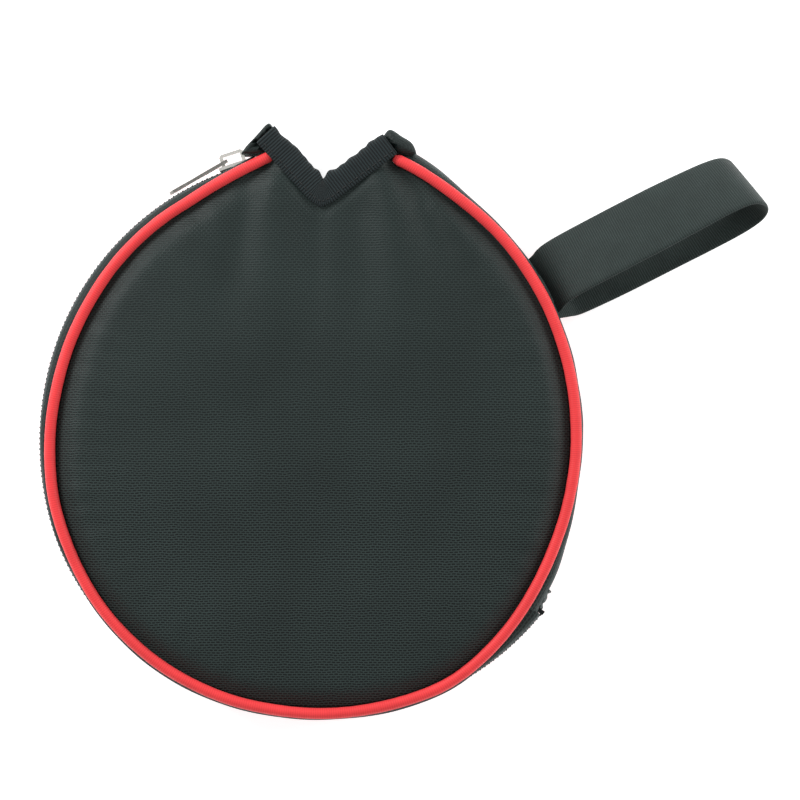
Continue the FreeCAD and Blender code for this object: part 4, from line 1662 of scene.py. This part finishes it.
def dress_frame_pieces(finishes: Finishes) -> None:
    """Give the frame's own small pieces their real materials."""
    looks = {
        finishes.metal: (
            "slider_body", "slider_bridge", "zip_top_stop_front", "zip_top_stop_back",
        ),
        finishes.pull_metal: ("pull_tab",),
        finishes.black_metal: ("zip_bottom_stop",),
    }
    for material, names in looks.items():
        for name in names:
            paint(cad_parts[name], material)


# ------------------------------------------------------------------ studio


@dataclass
class Studio:
    """Pale floor, soft lights and the camera straight above the case."""

    aim: Vector = field(default_factory=lambda: Vector((0.0274, 0.0128, 0.033)))
    distance: float = 2.0
    frame_width: float = 0.281
    sensor: float = 36.0
    sky: float = 0.6
    floor_size: float = 6.0
    floor_level: float = -0.0006
    lamp_size: float = 0.7
    lamps: tuple[tuple[str, tuple[float, float, float], float], ...] = (
        ("upper_left_softbox", (-1.2, 1.0, 0.8), 26.0),
        ("right_softbox", (1.4, 0.5, 0.6), 12.0),
    )

    def _camera(self) -> None:
        """Place the camera straight above, with +Y up in the picture."""
        data = bpy.data.cameras.new("studio_camera")
        data.sensor_width = self.sensor
        data.lens = self.sensor * self.distance / self.frame_width
        camera = bpy.data.objects.new("studio_camera", data)
        camera.location = self.aim + UP * self.distance
        bpy.context.collection.objects.link(camera)
        bpy.context.scene.camera = camera

    def _lamp(self, name: str, spot: Vector, power: float) -> None:
        """Add one soft square lamp that points at the case."""
        data = bpy.data.lights.new(name, "AREA")
        data.shape = "SQUARE"
        data.size = self.lamp_size
        data.energy = power
        lamp = bpy.data.objects.new(name, data)
        lamp.location = spot
        lamp.rotation_mode = "QUATERNION"
        lamp.rotation_quaternion = (spot - self.aim).to_track_quat("Z", "Y")
        bpy.context.collection.objects.link(lamp)

    def build(self, finishes: Finishes) -> None:
        """Build the whole set."""
        bpy.ops.mesh.primitive_plane_add(
            size=self.floor_size, location=(0.0, 0.0, self.floor_level),
        )
        floor = bpy.context.active_object
        floor.name = "studio_floor"
        paint(floor, finishes.floor)
        world = bpy.data.worlds.new("studio_world")
        world.use_nodes = True
        feed(world.node_tree.nodes["Background"], Color=linear("ffffff"), Strength=self.sky)
        bpy.context.scene.world = world
        for name, spot, power in self.lamps:
            self._lamp(name, Vector(spot), power)
        bpy.context.scene.view_settings.view_transform = "Standard"
        self._camera()


# ------------------------------------------------------------------ assembly


FRONT_CROWN, BACK_CROWN = 4.2, 0.3
END_LEVELS = (1.4, 17.7, 18.3, 34.6)
FRONT_CREASES = (
    Crease((-24.0, 96.0), -100.0, 66.0, 4.0, -1.5),
    Crease((-15.0, 92.0), -92.0, 80.0, 6.0, 1.1),
    Crease((-3.0, 80.0), -93.0, 80.0, 6.0, -0.9),
    Crease((29.0, 95.0), -66.0, 60.0, 4.0, -1.8),
    Crease((21.0, 92.0), -78.0, 66.0, 5.0, 1.3),
    Crease((11.0, 82.0), -84.0, 66.0, 5.0, -1.0),
    Crease((38.0, 88.0), -60.0, 55.0, 5.0, 0.9),
)

LEFT_END = (
    (-28.5, 99.4), (-26.4, 102.2), (-24.0, 104.7), (-19.5, 109.7), (-17.4, 108.6),
    (-14.6, 105.0), (-16.6, 100.6), (-20.5, 100.0), (-24.5, 99.4),
)
RIGHT_END = (
    (20.4, 103.6), (21.7, 105.9), (23.9, 107.9), (28.0, 105.7), (32.0, 102.7),
    (33.0, 99.4), (29.5, 98.9), (26.4, 99.6), (23.6, 99.2),
)


def main() -> None:
    """Build the case piece by piece, then the studio."""
    logging.basicConfig(level=logging.INFO, format="%(message)s")
    finishes = Finishes()
    bottom, middle, middle_up, top = END_LEVELS
    works: list[object] = [
        PaddedCover(Side.FRONT, FRONT_CROWN, FRONT_CREASES),
        PaddedCover(Side.BACK, BACK_CROWN, ()),
    ]
    for side in Side:
        works += [
            Piping(side), GussetStrip(side), SeamTape(side), ZipTape(side), ZipCoil(side),
            MouthRibbon(side), StitchRow(MouthRibbon(side)),
        ]
    works += [
        HingeGusset(), ZipEndTab(),
        GussetEnd("zip_side_end_front", "mouth_end_front", Side.FRONT, LEFT_END, middle_up, top),
        GussetEnd("zip_side_end_back", "mouth_end_back", Side.BACK, LEFT_END, bottom, middle),
        GussetEnd("hinge_side_end", "mouth_end_hinge", Side.BACK, RIGHT_END, bottom, top),
        WristStrap(), StrapAnchor(),
    ]
    for work in works:
        piece = work.build(finishes)
        LOG.info("%s: %d faces", piece.name, len(piece.data.polygons))
    dress_frame_pieces(finishes)
    Studio().build(finishes)


if __name__ == "__main__":
    main()
